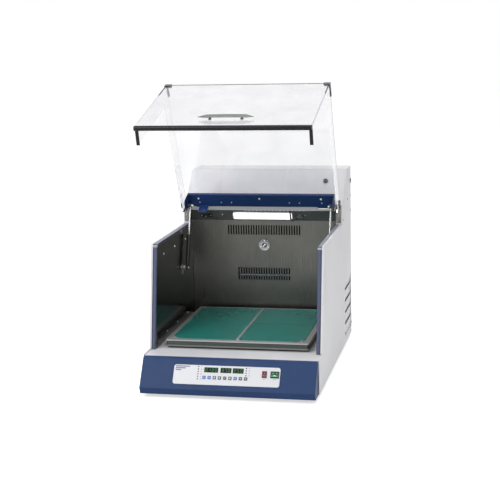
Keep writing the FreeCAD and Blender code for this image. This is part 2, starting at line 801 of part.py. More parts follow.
# Wall seals: on each wall a half-round rubber strip up the leaning edge, a flatter one along the
# level edge and a moulded corner between them.
seals = Piece("wall_seals")
strip_foot = s.deck_height + 3.0
corner_run = 16.0
corner_low = wall_head_height - corner_run
corner_back = front_edge(wall_head_height) + corner_run
strip_width = s.wall - s.rim_width - s.seat_gap
front_strip = [
    (front_edge(strip_foot), at_height(strip_foot)),
    (front_edge(strip_foot, -1 * s.seal_thickness), at_height(strip_foot)),
    (front_edge(corner_low, -1 * s.seal_thickness), at_height(corner_low)),
    (front_edge(corner_low), at_height(corner_low)),
]
corner_piece = [
    (front_edge(corner_low + s.seat_gap), at_height(corner_low + s.seat_gap)),
    (front_edge(corner_low + s.seat_gap, -1 * s.seal_thickness), at_height(corner_low + s.seat_gap)),
    (front_edge(wall_head_height - s.seal_thickness, -1 * s.seal_thickness), wall_top),
    (corner_back, wall_top),
    (corner_back, wall_head),
    (front_edge(wall_head_height), wall_head),
]
level_strip = corners((corner_back + s.seat_gap, wall_top), (step_y - s.seat_gap, wall_head))
for side in (-1, 1):
    for outline in (front_strip, corner_piece, level_strip):
        seals.pad(seals.outline("across", outline, side * inner_side), strip_width, back=side < 0)


def seal_line(edge):
    """Whether an edge lies on the outer face of a strip, and on which of the two lines."""
    middle = edge.CenterOfMass
    if parallel(edge, (1, 0, 0)):
        return "end" if middle.z < number_of(at_height(strip_foot)) + 0.1 else None
    rise = math.tan(math.radians(number_of(s.front_lean))) * (middle.z - number_of(deck_top))
    if abs(middle.y - number_of(at_depth(s.wall_foot_depth)) - rise) < 0.05:
        return "front" if edge.Length > 2 * corner_run else "corner"
    return "level" if abs(middle.z - number_of(wall_head)) < 0.05 else None


seals.fillet(s.seal_thickness * 0.8, lambda edge: seal_line(edge) == "front")
seals.fillet(s.seal_thickness * 0.35, lambda edge: seal_line(edge) in ("level", "corner"))

# Back wall: stainless sheet with two rows of upright round-ended slots and the raised centre
# plate in front of the fan's hub.
back_wall = Piece("back_wall")
back_y = at_depth(s.chamber_back_depth)
wall_side = inner_side - s.seat_gap
lamp_plate_low = at_height(lamp_plate_low_height)
back_wall.pad(back_wall.rectangle("front", (-wall_side, deck_top), (wall_side, lamp_plate_low), back_y),
              s.sheet, back=True)
slot_rows = [
    (-124.0, 29, s.upper_slot_drop, s.upper_slot_length),
    (-91.0, 21, s.lower_slot_drop, s.lower_slot_length),
]
for left, count, drop, tall in slot_rows:
    slot_sketch = back_wall.sketch("front", back_y)
    add_slot(slot_sketch, left, lamp_plate_low - drop - tall, lamp_plate_low - drop, s.slot_width)
    back_wall.row(back_wall.cut(slot_sketch, s.sheet), "x", s.slot_pitch * (count - 1), count)
fan_axis = (0.0, lamp_plate_low - s.fan_drop)
hub_plate_radius = 19.5
hub_plate_sheet = 2.0
back_wall.pad(back_wall.circle("front", fan_axis, hub_plate_radius, back_y), hub_plate_sheet)
back_wall.fillet(1.2, lambda edge: abs(edge.CenterOfMass.y - number_of(back_y) + hub_plate_sheet) < 0.01)

# Lamp plate: stainless strip that leans forward from the back wall to the header, with the gland
# block that the lead of the lamp enters from the left.
lamp_plate = Piece("lamp_plate")
plate_run = s.chamber_back_depth - s.header_depth
plate_rise = header_low_height - lamp_plate_low_height
plate_length = root(plate_run * plate_run + plate_rise * plate_rise)
plate_lean = arctangent(plate_run / plate_rise)


def on_lamp_plate(piece):
    piece.place(y=back_y, z=lamp_plate_low, turn=90 + plate_lean)


gland_side = 118.0
gland_rise = 21.0
gland_out = 5.0
gland_radius = 4.0
gland_nose = 3.5
gland_gap = 2.0
block = (gland_side + gland_gap, gland_side + 16.0)
block_half = 6.0
block_out = 9.0
lamp_plate.pad(lamp_plate.rectangle("plan", (-wall_side, 0.5), (wall_side, plate_length - 2.0), -1 * s.sheet),
               s.sheet)
lamp_plate.pad(lamp_plate.rectangle("plan", (block[0], gland_rise - block_half),
                                    (block[1], gland_rise + block_half)), block_out)
lamp_plate.fillet(2.0, lambda edge: upright(edge) and edge.Length > block_out - 0.1)
lamp_plate.pad(lamp_plate.circle("across", (gland_rise, gland_out), gland_radius, block[0]), gland_nose,
               back=True)
on_lamp_plate(lamp_plate)

# Lamp window: the pale diffuser of the chamber lamp, with rounded corners and a rounded rim.
lamp = Piece("lamp_window")
lamp_corner = 4.0
lamp_deep = 5.0
lamp.pad(lamp.rectangle("plan", (-104.0, 8.0), (98.0, 33.0), s.seat_gap), lamp_deep)
lamp.fillet(lamp_corner, upright)
lamp.fillet(1.5, lambda edge: edge.BoundBox.ZMin > lamp_deep)
on_lamp_plate(lamp)

# Lid switch: round bush on a small plate, with a sprung plunger that the hood's tab meets.
switch_side = inner_side - s.switch_inset
switch_centre = (-1 * switch_side, 21.0)
switch_plate = 1.5
bush_radius = 7.5
bush_out = 5.0
bush_head = switch_plate + s.seat_gap + bush_out
plunger_radius = 3.0
plunger_foot = 3.5
plunger_length = 6.8
switch = Piece("lid_switch")
switch.pad(switch.rectangle("plan", *around(switch_centre, 42.0, 14.0), s.seat_gap), switch_plate)
switch.fillet(3.0, upright)
switch.pad(switch.circle("plan", switch_centre, bush_radius, switch_plate + s.seat_gap), bush_out)
switch.cut(switch.circle("plan", switch_centre, plunger_radius + s.running_gap, bush_head))
on_lamp_plate(switch)
plunger = Piece("lid_plunger")
plunger.pad(plunger.circle("plan", switch_centre, plunger_radius, plunger_foot), plunger_length)
plunger.fillet(1.5, lambda edge: edge.CenterOfMass.z > 10.0)
on_lamp_plate(plunger)

# Air duct: open-fronted sheet box with a screwing flange, behind the back wall, that holds the fan
# and the heater.
duct = Piece("air_duct")
duct_front = back_y + s.sheet + s.seat_gap
duct_depth = 62.0
duct_flange = 12.0
shaft_room = 6.0
duct_low = (-1 * s.duct_half, lamp_plate_low - s.duct_drop)
duct_high = (s.duct_half, lamp_plate_low - 6.0)
duct.pad(duct.rectangle("front", (duct_low[0] - duct_flange, duct_low[1] - duct_flange),
                        (duct_high[0] + duct_flange, duct_high[1]), duct_front), s.sheet, back=True)
duct.fillet(8.0, lambda edge: parallel(edge, (0, 1, 0)) and edge.CenterOfMass.z < number_of(duct_low[1]))
duct.pad(duct.rectangle("front", duct_low, duct_high, duct_front), duct_depth, back=True)
duct.cut(duct.rectangle("front", (duct_low[0] + s.sheet, duct_low[1] + s.sheet),
                        (duct_high[0] - s.sheet, duct_high[1] - s.sheet), duct_front),
         duct_depth - s.sheet)
duct.cut(duct.circle("front", fan_axis, shaft_room, duct_front))

# Circulation fan: pressed radial wheel, its backing disc, dished hub and twelve curved blades,
# on the shaft of its motor.
fan = Piece("circulation_fan")
wheel_front = 10.0
wheel_depth = 30.0
disc = 2.0
hub_radius = 12.0
hub_length = 20.0
blade_count = 12
blade_sheet = 1.6
blade_sweep = 26.0
fan_shaft_radius = 4.0
disc_front = wheel_front + wheel_depth - disc
fan.pad(fan.circle("front", (0.0, 0.0), s.fan_radius, wheel_front + wheel_depth), disc)
fan.pad(fan.circle("front", (0.0, 0.0), hub_radius, disc_front), hub_length)
fan.fillet(3.0, lambda edge: edge.CenterOfMass.y < number_of(disc_front) - hub_length + 0.01)
blade_sketch = fan.sketch("front", disc_front)
add_blade(blade_sketch, hub_radius - 1.0, s.fan_radius - 1.0, blade_sweep, blade_sheet)
blade = fan.pad(blade_sketch, wheel_depth - 4.0)
fan.polar(blade, "y", blade_count)
fan.pad(fan.circle("front", (0.0, 0.0), fan_shaft_radius, wheel_front + wheel_depth),
        duct_depth - wheel_front - wheel_depth, back=True)
fan.place(y=duct_front, z=fan_axis[1])

# Fan motor: round motor on the rear of the duct, with a mounting flange and a domed end.
fan_motor = Piece("fan_motor")
motor_front = duct_front + duct_depth + s.seat_gap
can_radius = 36.0
can_length = 46.0
fan_flange = 44.0
fan_motor.lathe([(0.0, 0.0), (0.0, fan_flange), (3.0, fan_flange), (3.0, can_radius),
                 (can_length, can_radius), (can_length, 0.0)], y=motor_front, z=fan_axis[1])
fan_motor.fillet(6.0, lambda edge: edge.BoundBox.YMin > number_of(motor_front) + can_length - 0.01)

# Heater: tubular element bent into a flat loop behind the lower slots, its ends in the duct side.
heater = Piece("heater")
heater_y = at_depth(s.chamber_back_depth + 20.0)
heater_z = lamp_plate_low - s.heater_drop
heater_left = duct_low[0] + s.sheet + s.seat_gap
heater_radius = 4.0
bend = 14.0
bend_x = 150.0
path = heater.sketch("front", heater_y)
start_x = number_of(heater_left)
low_z = number_of(heater_z)
high_z = low_z + 2 * bend
path.addGeometry(Part.LineSegment(VECTOR(start_x, low_z, 0), VECTOR(bend_x, low_z, 0)), False)
half_turn = Part.Circle(VECTOR(bend_x, low_z + bend, 0), VECTOR(0, 0, 1), bend)
path.addGeometry(Part.ArcOfCircle(half_turn, -math.pi / 2, math.pi / 2), False)
path.addGeometry(Part.LineSegment(VECTOR(bend_x, high_z, 0), VECTOR(start_x, high_z, 0)), False)
path.addConstraint(Sketcher.Constraint("Tangent", 0, 2, 1, 1))
path.addConstraint(Sketcher.Constraint("Tangent", 1, 2, 2, 1))
path.addConstraint(Sketcher.Constraint("Horizontal", 0))
path.addConstraint(Sketcher.Constraint("Horizontal", 2))
path.addConstraint(Sketcher.Constraint("Radius", 1, bend))
path.addConstraint(Sketcher.Constraint("DistanceX", -1, 1, 0, 2, bend_x))
path.addConstraint(Sketcher.Constraint("Vertical", 0, 1, 2, 2))
tie(path, Sketcher.Constraint("DistanceX", -1, 1, 0, 1, start_x), heater_left)
tie(path, Sketcher.Constraint("DistanceY", -1, 1, 0, 1, low_z), heater_z)
heater_pipe = heater.feature("PartDesign::AdditivePipe")
heater_pipe.Profile = heater.circle("across", (heater_y, heater_z), heater_radius, heater_left)
heater_pipe.Spine = path

# Housing face: folded white sheet, header over the chamber, ledge and the slanted rear face.
housing = Piece("housing_face")
ledge_top = at_height(step_height + 1.5)
slant_foot = slant_depth(step_height + 1.5)
thin = s.sheet / cosine(s.slant_angle)
face_top = at_height(s.body_height) - s.sheet - s.seat_gap
face_top_y = slant_depth(s.body_height - s.sheet - s.seat_gap)
header_front = at_depth(s.header_depth)
header_low = at_height(header_low_height)
header_lip = 14.0
face_outline = [
    (header_front, ledge_top - s.sheet),
    (header_front, ledge_top),
    (slant_foot, ledge_top),
    (face_top_y, face_top),
    (face_top_y + thin, face_top),
    (slant_foot + thin, ledge_top - s.sheet),
]
face_side = half_width - s.sheet - s.seat_gap
housing.pad(housing.outline("across", face_outline), 2 * face_side, both=True)
housing.pad(housing.rectangle("across", (header_front, header_low),
                              (header_front + s.sheet, ledge_top - s.sheet)), 2 * wall_side, both=True)
housing.pad(housing.rectangle("across", (header_front, header_low),
                              (header_front + header_lip, header_low + s.sheet)), 2 * wall_side, both=True)
housing.fillet(s.bend, lambda edge: any(along(edge, header_front, fold) for fold in (ledge_top, header_low)))

# Rear cover: two side panels with pressed louvres and, above a seam, one folded cover over the
# top of the housing, with a plugged hole on the right.
rear = Piece("rear_cover")
rear_y = at_depth(s.rear_sheet_depth)
rear_front = at_depth(s.seam_depth) + s.seat_gap
side_seam = at_height(s.side_seam_height)
louvre_count = 5
louvre_pitch = 40.0
louvre_set = 5.0
cheek = 1.2
louvre_base = at_height(pan_lip) + cheek + s.seat_gap
louvre_area = ((rear_front + 7.0, louvre_base), (rear_y - 9.0, louvre_base + louvre_count * louvre_pitch))
for side in (-1, 1):
    outer = side * half_width
    rear.pad(rear.rectangle("across", (rear_front, at_height(0.0)), (rear_y, side_seam - s.seat_gap), outer),
             s.sheet, back=side > 0)
    rear.cut(rear.rectangle("across", *louvre_area, outer), 2 * s.sheet, back=side < 0)
    surround = rear.rectangle("across", *louvre_area, outer)
    add_outline(surround, corners((louvre_area[0][0] - cheek, louvre_area[0][1] - cheek),
                                  (louvre_area[1][0] + cheek, louvre_area[1][1] + cheek)))
    rear.pad(surround, louvre_set + s.sheet, back=side > 0)
    blade_outline = [
        (outer, louvre_base + louvre_pitch),
        (outer - side * s.sheet, louvre_base + louvre_pitch),
        (outer - side * (louvre_set + s.sheet), louvre_base),
        (outer - side * louvre_set, louvre_base),
    ]
    louvre = rear.pad(rear.outline("front", blade_outline, louvre_area[1][0]),
                      louvre_area[1][0] - louvre_area[0][0])
    rear.row(louvre, "z", louvre_pitch * (louvre_count - 1), louvre_count)
rear_top = [
    (rear_front, side_seam),
    (rear_y, side_seam),
    (rear_y, at_height(s.body_height)),
    (at_depth(s.slant_top_depth), at_height(s.body_height)),
    (rear_front, at_height(s.body_height) - (s.slant_top_depth - s.seam_depth - s.seat_gap) * slant_rise),
]
rear.pad(rear.outline("across", rear_top), s.body_width, both=True)
rear.fillet(2.5, lambda edge: parallel(edge, (0, 1, 0))
            and edge.CenterOfMass.z > number_of(at_height(s.body_height)) - 0.01)
rear.cut(rear.rectangle("across", (rear_front - 10.0, side_seam - 1.0),
                        (rear_y + 10.0, at_height(s.body_height) - s.sheet)),
         s.body_width - 2 * s.sheet, both=True)
plug_spot = (at_depth(821.0), at_height(s.body_height - 51.0))
plug_radius = 6.5
rear.cut(rear.circle("across", plug_spot, plug_radius, half_width), 2 * s.sheet)

# Rear panel: flat back sheet with three rows of round-ended vents and the cut-out for the inlet.
rear_panel = Piece("rear_panel")
panel_side = half_width - s.sheet - s.seat_gap
panel_head = at_height(s.body_height) - s.sheet - s.seat_gap
rear_panel.pad(rear_panel.rectangle("front", (-panel_side, at_height(s.seat_gap)), (panel_side, panel_head),
                                    rear_y), s.sheet)
inlet_centre = (180.0, at_height(62.0))
inlet_half = (13.6, 9.6)
inlet_room = 0.4
inlet_cut = rear_panel.rectangle("front", *around(inlet_centre, 2 * (inlet_half[0] + inlet_room),
                                                  2 * (inlet_half[1] + inlet_room)), rear_y)
rear_panel.cut(inlet_cut, 2 * s.sheet, both=True)
vent_left = -107.0
vent_width = 6.0
vent_tall = 14.0
vent_pitch = 14.0
vent_count = 16
for drop in (120.0, 142.0, 164.0):
    vent_sketch = rear_panel.sketch("front", rear_y)
    vent_low = at_height(s.body_height) - drop
    add_slot(vent_sketch, vent_left, vent_low, vent_low + vent_tall, vent_width)
    rear_panel.row(rear_panel.cut(vent_sketch, 2 * s.sheet, both=True), "x",
                   vent_pitch * (vent_count - 1), vent_count)

# Mains inlet: three-pin appliance inlet with its flange on the outside of the rear panel.
inlet = Piece("mains_inlet")
flange_y = at_depth(s.body_depth)
flange_margin = (11.4, 5.4)
flange_corner = 3.0
screw_hole = 1.8
body_wall = 2.1
socket_depth = 17.0
body_behind = 7.0
pin_length = 10.5
pin_half = (1.0, 2.0)


def about_inlet(margin_x, margin_z):
    return around(inlet_centre, 2 * (inlet_half[0] + margin_x), 2 * (inlet_half[1] + margin_z))


inlet.pad(inlet.rectangle("front", *about_inlet(*flange_margin), flange_y),
          s.body_depth - s.rear_sheet_depth - s.seat_gap)
inlet.fillet(flange_corner, lambda edge: parallel(edge, (0, 1, 0)))
holes = inlet.sketch("front", flange_y)
for side in (-1, 1):
    add_circle(holes, (inlet_centre[0] + side * (inlet_half[0] + 6.2), inlet_centre[1]), screw_hole)
inlet.cut(holes, 2 * flange_margin[0], back=True)
inlet.pad(inlet.rectangle("front", *about_inlet(0.0, 0.0), flange_y), socket_depth + body_behind)
inlet.cut(inlet.rectangle("front", *about_inlet(-body_wall, -body_wall), flange_y), socket_depth, back=True)
inlet_pins = inlet.sketch("front", flange_y - socket_depth)
for pin_x, pin_z in ((-7.0, -1.5), (0.0, 2.5), (7.0, -1.5)):
    add_outline(inlet_pins, corners(*around((inlet_centre[0] + pin_x, inlet_centre[1] + pin_z),
                                            2 * pin_half[0], 2 * pin_half[1])))
inlet.pad(inlet_pins, pin_length, back=True)

# Limiter knob: small round over-temperature setting knob on the slanted face, fluted for the
# fingertips and slotted across its crown.
knob = Piece("limiter_knob")
knob_radius = 7.5
knob_height = 6.0
flute_radius = 1.0
flute_count = 14
knob_side = half_width - s.knob_inset
knob_drop = 37.0
knob.pad(knob.circle("plan", (0.0, 0.0), knob_radius, s.seat_gap), knob_height)
knob.fillet(1.2, lambda edge: edge.CenterOfMass.z > knob_height)
knob.cut(knob.rectangle("plan", (-0.9, -7.6), (0.9, 7.6), knob_height + s.seat_gap), 1.6)
flute = knob.cut(knob.circle("plan", (knob_radius + 0.4, 0.0), flute_radius, knob_height + s.seat_gap),
                 knob_height - 1.5)
knob.polar(flute, "z", flute_count)
knob.place(x=knob_side, y=slant_depth(s.body_height - knob_drop),
           z=at_height(s.body_height - knob_drop), turn=s.slant_angle)

# Bearing housings: three cast columns on the base pan, one for each crank shaft, each with a
# bolted flange, four ribs and a ball bearing let into its top.
housings = Piece("bearing_housings")
flange_reach = 30.0
flange_sheet = 6.0
column_reach = 15.0
bearing_reach = 10.0
bearing_thick = 9.0
rib_half = 3.0
bolt_radius = 3.2
shaft_spots = [((0.0, at_depth(s.crank_depth)), s.crank_shaft_radius, pulley_low_height)]
for side in (-1, 1):
    shaft_spots.append(((side * s.idler_side, at_depth(s.idler_depth)), s.idler_shaft_radius, web_low_height))
for centre, radius, top in shaft_spots:
    flange_low = at_height(s.sheet)
    column_top = at_height(top) - s.seat_gap
    flange = radius + flange_reach
    column = radius + column_reach
    housings.pad(housings.circle("plan", centre, flange, flange_low), flange_sheet)
    housings.pad(housings.circle("plan", centre, column, flange_low), column_top - flange_low)
    for plane, middle, away in (("front", centre[0], centre[1]), ("across", centre[1], centre[0])):
        rib = [(middle - flange, flange_low), (middle + flange, flange_low),
               (middle + flange, flange_low + flange_sheet + 2.0), (middle + column, column_top - 6.0),
               (middle - column, column_top - 6.0), (middle - flange, flange_low + flange_sheet + 2.0)]
        housings.pad(housings.outline(plane, rib, away), 2 * rib_half, both=True)
    bolts = housings.sketch("plan", flange_low + flange_sheet)
    for step_x in (-0.6, 0.6):
        for step_y in (-0.6, 0.6):
            add_circle(bolts, (centre[0] + step_x * flange, centre[1] + step_y * flange), bolt_radius)
    housings.cut(bolts, flange_sheet)
    housings.cut(housings.circle("plan", centre, radius + s.running_gap, column_top),
                 column_top - flange_low - 4.0)
    housings.cut(housings.circle("plan", centre, radius + bearing_reach, column_top), bearing_thick)
for centre, radius, top in shaft_spots:
    bearing_low = at_height(top) - s.seat_gap - bearing_thick + s.running_gap
    race = housings.circle("plan", centre, radius + s.running_gap, bearing_low)
    add_circle(race, centre, radius + bearing_reach - s.running_gap)
    housings.pad(race, bearing_thick - s.running_gap)

# Cranks: each a vertical shaft with a half-round counterweight, a web and the orbit pin that
# carries the platform. The driven one in the middle is the largest.
pin_low = at_height(web_low_height + s.web_thickness)
carrier_low = at_height(platform_top_height - s.platform_rim - 2.0)
carrier_top = at_height(platform_top_height - 4.0)
pin_top = carrier_top - 6.0
shaft_low = at_height(s.sheet + 5.0)


def crank(label, centre, shaft_radius, pin_radius, weight_radius):
    """One crank, drawn with its orbit pin to the right and set down with it to the rear."""
    made = Piece(label)
    web_low = at_height(web_low_height)
    collar = pin_radius + 4.0
    made.pad(made.circle("plan", (0.0, 0.0), weight_radius, web_low), s.web_thickness)
    made.cut(made.rectangle("plan", (-1 * shaft_radius / 3, -1 * weight_radius - 1.0),
                            (weight_radius + 1.0, weight_radius + 1.0), pin_low), s.web_thickness)
    made.fillet(shaft_radius / 2, lambda edge: upright(edge) and abs(edge.CenterOfMass.y) > shaft_room)
    made.pad(made.circle("plan", (0.0, 0.0), shaft_radius + 6.0, web_low), s.web_thickness)
    made.pad(made.circle("plan", (s.orbit_radius, 0.0), collar, web_low), s.web_thickness)
    made.pad(made.circle("plan", (0.0, 0.0), shaft_radius, shaft_low), web_low - shaft_low)
    made.pad(made.circle("plan", (s.orbit_radius, 0.0), pin_radius, pin_low), pin_top - pin_low)
    made.place(x=centre[0], y=centre[1], turn=90.0, about=(0, 0, 1))


crank("drive_shaft", (0.0, at_depth(s.crank_depth)), s.crank_shaft_radius, s.crank_pin_radius,
      s.crank_weight_radius)
for label, side in (("idler_left", -1), ("idler_right", 1)):
    crank(label, (side * s.idler_side, at_depth(s.idler_depth)), s.idler_shaft_radius,
          s.idler_pin_radius, s.idler_weight_radius)

# Drive pulleys: toothed between two thin flanges. The large one, clamped on the middle crank
# under its web, has lightening holes, and the small one has the motor's shaft.
pulley_low = at_height(pulley_low_height)
pulley_high = pulley_low + s.pulley_thickness
rim_reach = 3.5
rim_sheet = 1.5
tooth_depth = 1.6
tooth_half = 1.3


def toothed_pulley(label, radius, teeth):
    """The toothed wheel of a belt drive about its own upright axis, without its bore."""
    made = Piece(label)
    made.pad(made.circle("plan", (0.0, 0.0), radius, pulley_low), s.pulley_thickness)
    for low in (pulley_low, pulley_high - rim_sheet):
        made.pad(made.circle("plan", (0.0, 0.0), radius + rim_reach, low), rim_sheet)
    groove = [(radius - tooth_depth, -0.7 * tooth_half), (radius + 0.3, -tooth_half),
              (radius + 0.3, tooth_half), (radius - tooth_depth, 0.7 * tooth_half)]
    gap = made.cut(made.outline("plan", groove, pulley_high - rim_sheet), s.pulley_thickness - 2 * rim_sheet)
    made.polar(gap, "z", teeth)
    return made


pulley = toothed_pulley("drive_pulley", s.crank_pulley_radius, 48)
pulley.cut(pulley.circle("plan", (0.0, 0.0), s.crank_shaft_radius + s.running_gap, pulley_high))
lightening = pulley.cut(pulley.circle("plan", (s.crank_pulley_radius * 0.6, 0.0), 11.0, pulley_high))
pulley.polar(lightening, "z", 5)
pulley.place(y=at_depth(s.crank_depth))
motor_y = at_depth(s.crank_depth + s.motor_distance)
motor_top = pulley_low_height - 6.0
motor_shaft_radius = 6.0
motor_pulley = toothed_pulley("motor_pulley", s.motor_pulley_radius, 16)
shaft_sink = 19.0
motor_shaft = motor_pulley.circle("plan", (0.0, 0.0), motor_shaft_radius, at_height(motor_top - shaft_sink))
motor_pulley.pad(motor_shaft, shaft_sink + 6.0)
motor_pulley.place(y=motor_y)

# Drive motor: round can on a square foot that is bolted to the pan, with a stepped nose.
motor = Piece("drive_motor")
motor_foot_half = 45.0
motor_foot = 5.0
motor_can_radius = 38.0
nose_radius = 20.0
nose_rise = 4.0
motor.pad(motor.rectangle("plan", (-motor_foot_half, -motor_foot_half), (motor_foot_half, motor_foot_half),
                          at_height(s.sheet)), motor_foot)
motor.fillet(8.0, upright)
motor_bolts = motor.sketch("plan", at_height(s.sheet + motor_foot))
for step_x in (-1, 1):
    for step_y in (-1, 1):
        add_circle(motor_bolts, (step_x * 37.0, step_y * 37.0), bolt_radius)
motor.cut(motor_bolts, motor_foot)
motor.pad(motor.circle("plan", (0.0, 0.0), motor_can_radius, at_height(s.sheet)),
          motor_top - nose_rise - s.sheet)
motor.pad(motor.circle("plan", (0.0, 0.0), nose_radius, at_height(motor_top - nose_rise)), nose_rise)
motor.cut(motor.circle("plan", (0.0, 0.0), motor_shaft_radius + s.running_gap, at_height(motor_top)), 20.0)
motor.place(y=motor_y)

# Drive belt: closed loop round both pulleys, with straight tangent runs between them.
belt_piece = doc.addObject("Part::Feature", "drive_belt")
belt_piece.Label = "drive_belt"


def belt_loop(slack):
    """Wire round both pulleys at a distance from their rims."""
    big = number_of(s.crank_pulley_radius) + slack
    small = number_of(s.motor_pulley_radius) + slack
    distance = number_of(s.motor_distance)
    lean = math.asin((big - small) / distance)
    side = VECTOR(math.cos(lean), math.sin(lean), 0)
    mirror = VECTOR(-math.cos(lean), math.sin(lean), 0)
    far = VECTOR(0, distance, 0)
    front_arc = Part.Arc(side * big, VECTOR(0, -big, 0), mirror * big)
    rear_arc = Part.Arc(mirror * small + far, VECTOR(0, distance + small, 0), side * small + far)
    runs = [Part.LineSegment(mirror * big, mirror * small + far),
            Part.LineSegment(side * small + far, side * big)]
    return Part.Wire([front_arc.toShape(), runs[0].toShape(), rear_arc.toShape(), runs[1].toShape()])


belt_gap = number_of(s.seat_gap)
belt_face = Part.Face(belt_loop(belt_gap + number_of(s.belt_thickness))).cut(Part.Face(belt_loop(belt_gap)))
belt_piece.Shape = belt_face.extrude(VECTOR(0, 0, number_of(s.belt_width)))
belt_piece.setExpression("Placement.Base.y", at_depth(s.crank_depth).text)
belt_piece.setExpression("Placement.Base.z", at_height(pulley_low_height + 3.0).text)
pieces.append(belt_piece)

# Platform carrier: black casting under the tray, its roof stiffened by ribs that cross at the
# bearing boss of each orbit pin.
carrier = Piece("platform_carrier")
carrier_half = s.platform_side / 2 - s.platform_rim_wall - s.carrier_gap
carrier_wall = 8.0
carrier_roof = 5.0
carrier_corner = 14.0
boss_wall = 9.0
rib_sheet = 5.0
rib_low = carrier_low + 5.0
pin_spots = [(0.0, at_depth(s.crank_depth) + s.orbit_radius, s.crank_pin_radius)]
for side in (-1, 1):
    pin_spots.append((side * s.idler_side, at_depth(s.idler_depth) + s.orbit_radius, s.idler_pin_radius))
carrier.pad(carrier.rectangle("plan", (-carrier_half, platform_centre - carrier_half),
                              (carrier_half, platform_centre + carrier_half), carrier_low),
            carrier_top - carrier_low)
carrier.fillet(carrier_corner, upright)
hollow_half = carrier_half - carrier_wall
carrier.cut(carrier.rectangle("plan", (-hollow_half, platform_centre - hollow_half),
                              (hollow_half, platform_centre + hollow_half), carrier_low),
            carrier_top - carrier_low - carrier_roof, back=True)
for x, y, pin_radius in pin_spots:
    carrier.pad(carrier.rectangle("plan", (x - rib_sheet / 2, platform_centre - hollow_half),
                                  (x + rib_sheet / 2, platform_centre + hollow_half), rib_low),
                carrier_top - rib_low - 1.0)
for y in (pin_spots[0][1], pin_spots[1][1]):
    carrier.pad(carrier.rectangle("plan", (-hollow_half, y - rib_sheet / 2), (hollow_half, y + rib_sheet / 2),
                                  rib_low), carrier_top - rib_low - 1.0)
bosses = carrier.sketch("plan", carrier_low)
for x, y, pin_radius in pin_spots:
    add_circle(bosses, (x, y), pin_radius + boss_wall)
carrier.pad(bosses, carrier_top - carrier_low - 1.0)
for x, y, pin_radius in pin_spots:
    carrier.cut(carrier.circle("plan", (x, y), pin_radius + s.running_gap, carrier_low),
                pin_top - carrier_low + 1.0, back=True)

# Platform tray: square tray with rounded corners, a ledge round its top, a recessed band and a
# lip below.
tray = Piece("platform_tray")
tray_half = s.platform_side / 2
tray_low = at_height(platform_top_height - s.platform_rim)
tray_corner = 5.0
band_inset = 2.0
lip = 3.5
tray_sheet = 4.0
tray_levels = [
    (tray_low, lip, 0.0),
    (tray_low + lip, s.platform_rim - lip - tray_sheet, band_inset),
    (carrier_top, tray_sheet, 0.0),
]
for low, thickness, inset in tray_levels:
    half = tray_half - inset
    tray.pad(tray.rectangle("plan", (-half, platform_centre - half), (half, platform_centre + half), low),
             thickness)
tray.fillet(tray_corner, upright)
open_half = tray_half - s.platform_rim_wall
tray.cut(tray.rectangle("plan", (-open_half, platform_centre - open_half),
                        (open_half, platform_centre + open_half), tray_low),
         carrier_top - tray_low, back=True)

# Platform mats: four rubber mats, each with its outer corner cut off and the cut rounded.
mats = Piece("platform_mats")
mat_half = tray_half - s.mat_margin
mat_near = s.strip_width / 2 + 0.8
mat_row = 1.2
chamfer = s.mat_chamfer
mat_z = at_height(platform_top_height)
for side in (-1, 1):
    for way in (-1, 1):
        near_x = side * mat_near
        far_x = side * mat_half
        near_y = platform_centre + way * mat_row
        far_y = platform_centre + way * mat_half
        points = [(near_x, near_y), (far_x, near_y), (far_x, far_y - way * chamfer),
                  (far_x - side * chamfer, far_y), (near_x, far_y)]
        mats.pad(mats.outline("plan", points, mat_z), s.mat_thickness)


def cut_corner(edge):
    """Whether an upright edge of a mat stands at one end of its cut-off corner."""
    x = abs(edge.CenterOfMass.x)
    y = abs(edge.CenterOfMass.y - number_of(platform_centre))
    half = number_of(mat_half)
    start = half - number_of(chamfer)
    return min(abs(x - start) + abs(y - half), abs(y - start) + abs(x - half)) < 0.1


mats.fillet(4.0, lambda edge: upright(edge) and cut_corner(edge))

# Platform fixings: the clamping bar between the mats and the four corner screws, each with a
# hexagon socket.
fixings = Piece("platform_fixings")
bar_rise = 3.0
screw_radius = 4.5
screw_rise = 2.6
socket_reach = 2.3
socket_sink = 1.6
fixings.pad(fixings.rectangle("plan", (-1 * s.strip_width / 2, platform_centre - mat_half),
                              (s.strip_width / 2, platform_centre + mat_half), mat_z), bar_rise)
screw_away = mat_half - 7.0
screw_spots = [(side * screw_away, platform_centre + way * screw_away) for side in (-1, 1) for way in (-1, 1)]
screws = fixings.sketch("plan", mat_z)
sockets = fixings.sketch("plan", mat_z + screw_rise)
for spot in screw_spots:
    add_circle(screws, spot, screw_radius)
    add_outline(sockets, hexagon(spot, socket_reach))
fixings.pad(screws, screw_rise)
fixings.cut(sockets, socket_sink)

# Hood: clear shell drawn shut, about the hinge line, and then swung open.
lean = s.front_lean
hood_half = hood_width / 2


def shut(y, z):
    """A place on the shut hood, measured from the hinge line."""
    return y - hinge[0], z - hinge[1]


def on_hinge(piece):
    piece.place(y=hinge[0], z=hinge[1], turn=s.hood_open_angle, about=(-1, 0, 0))


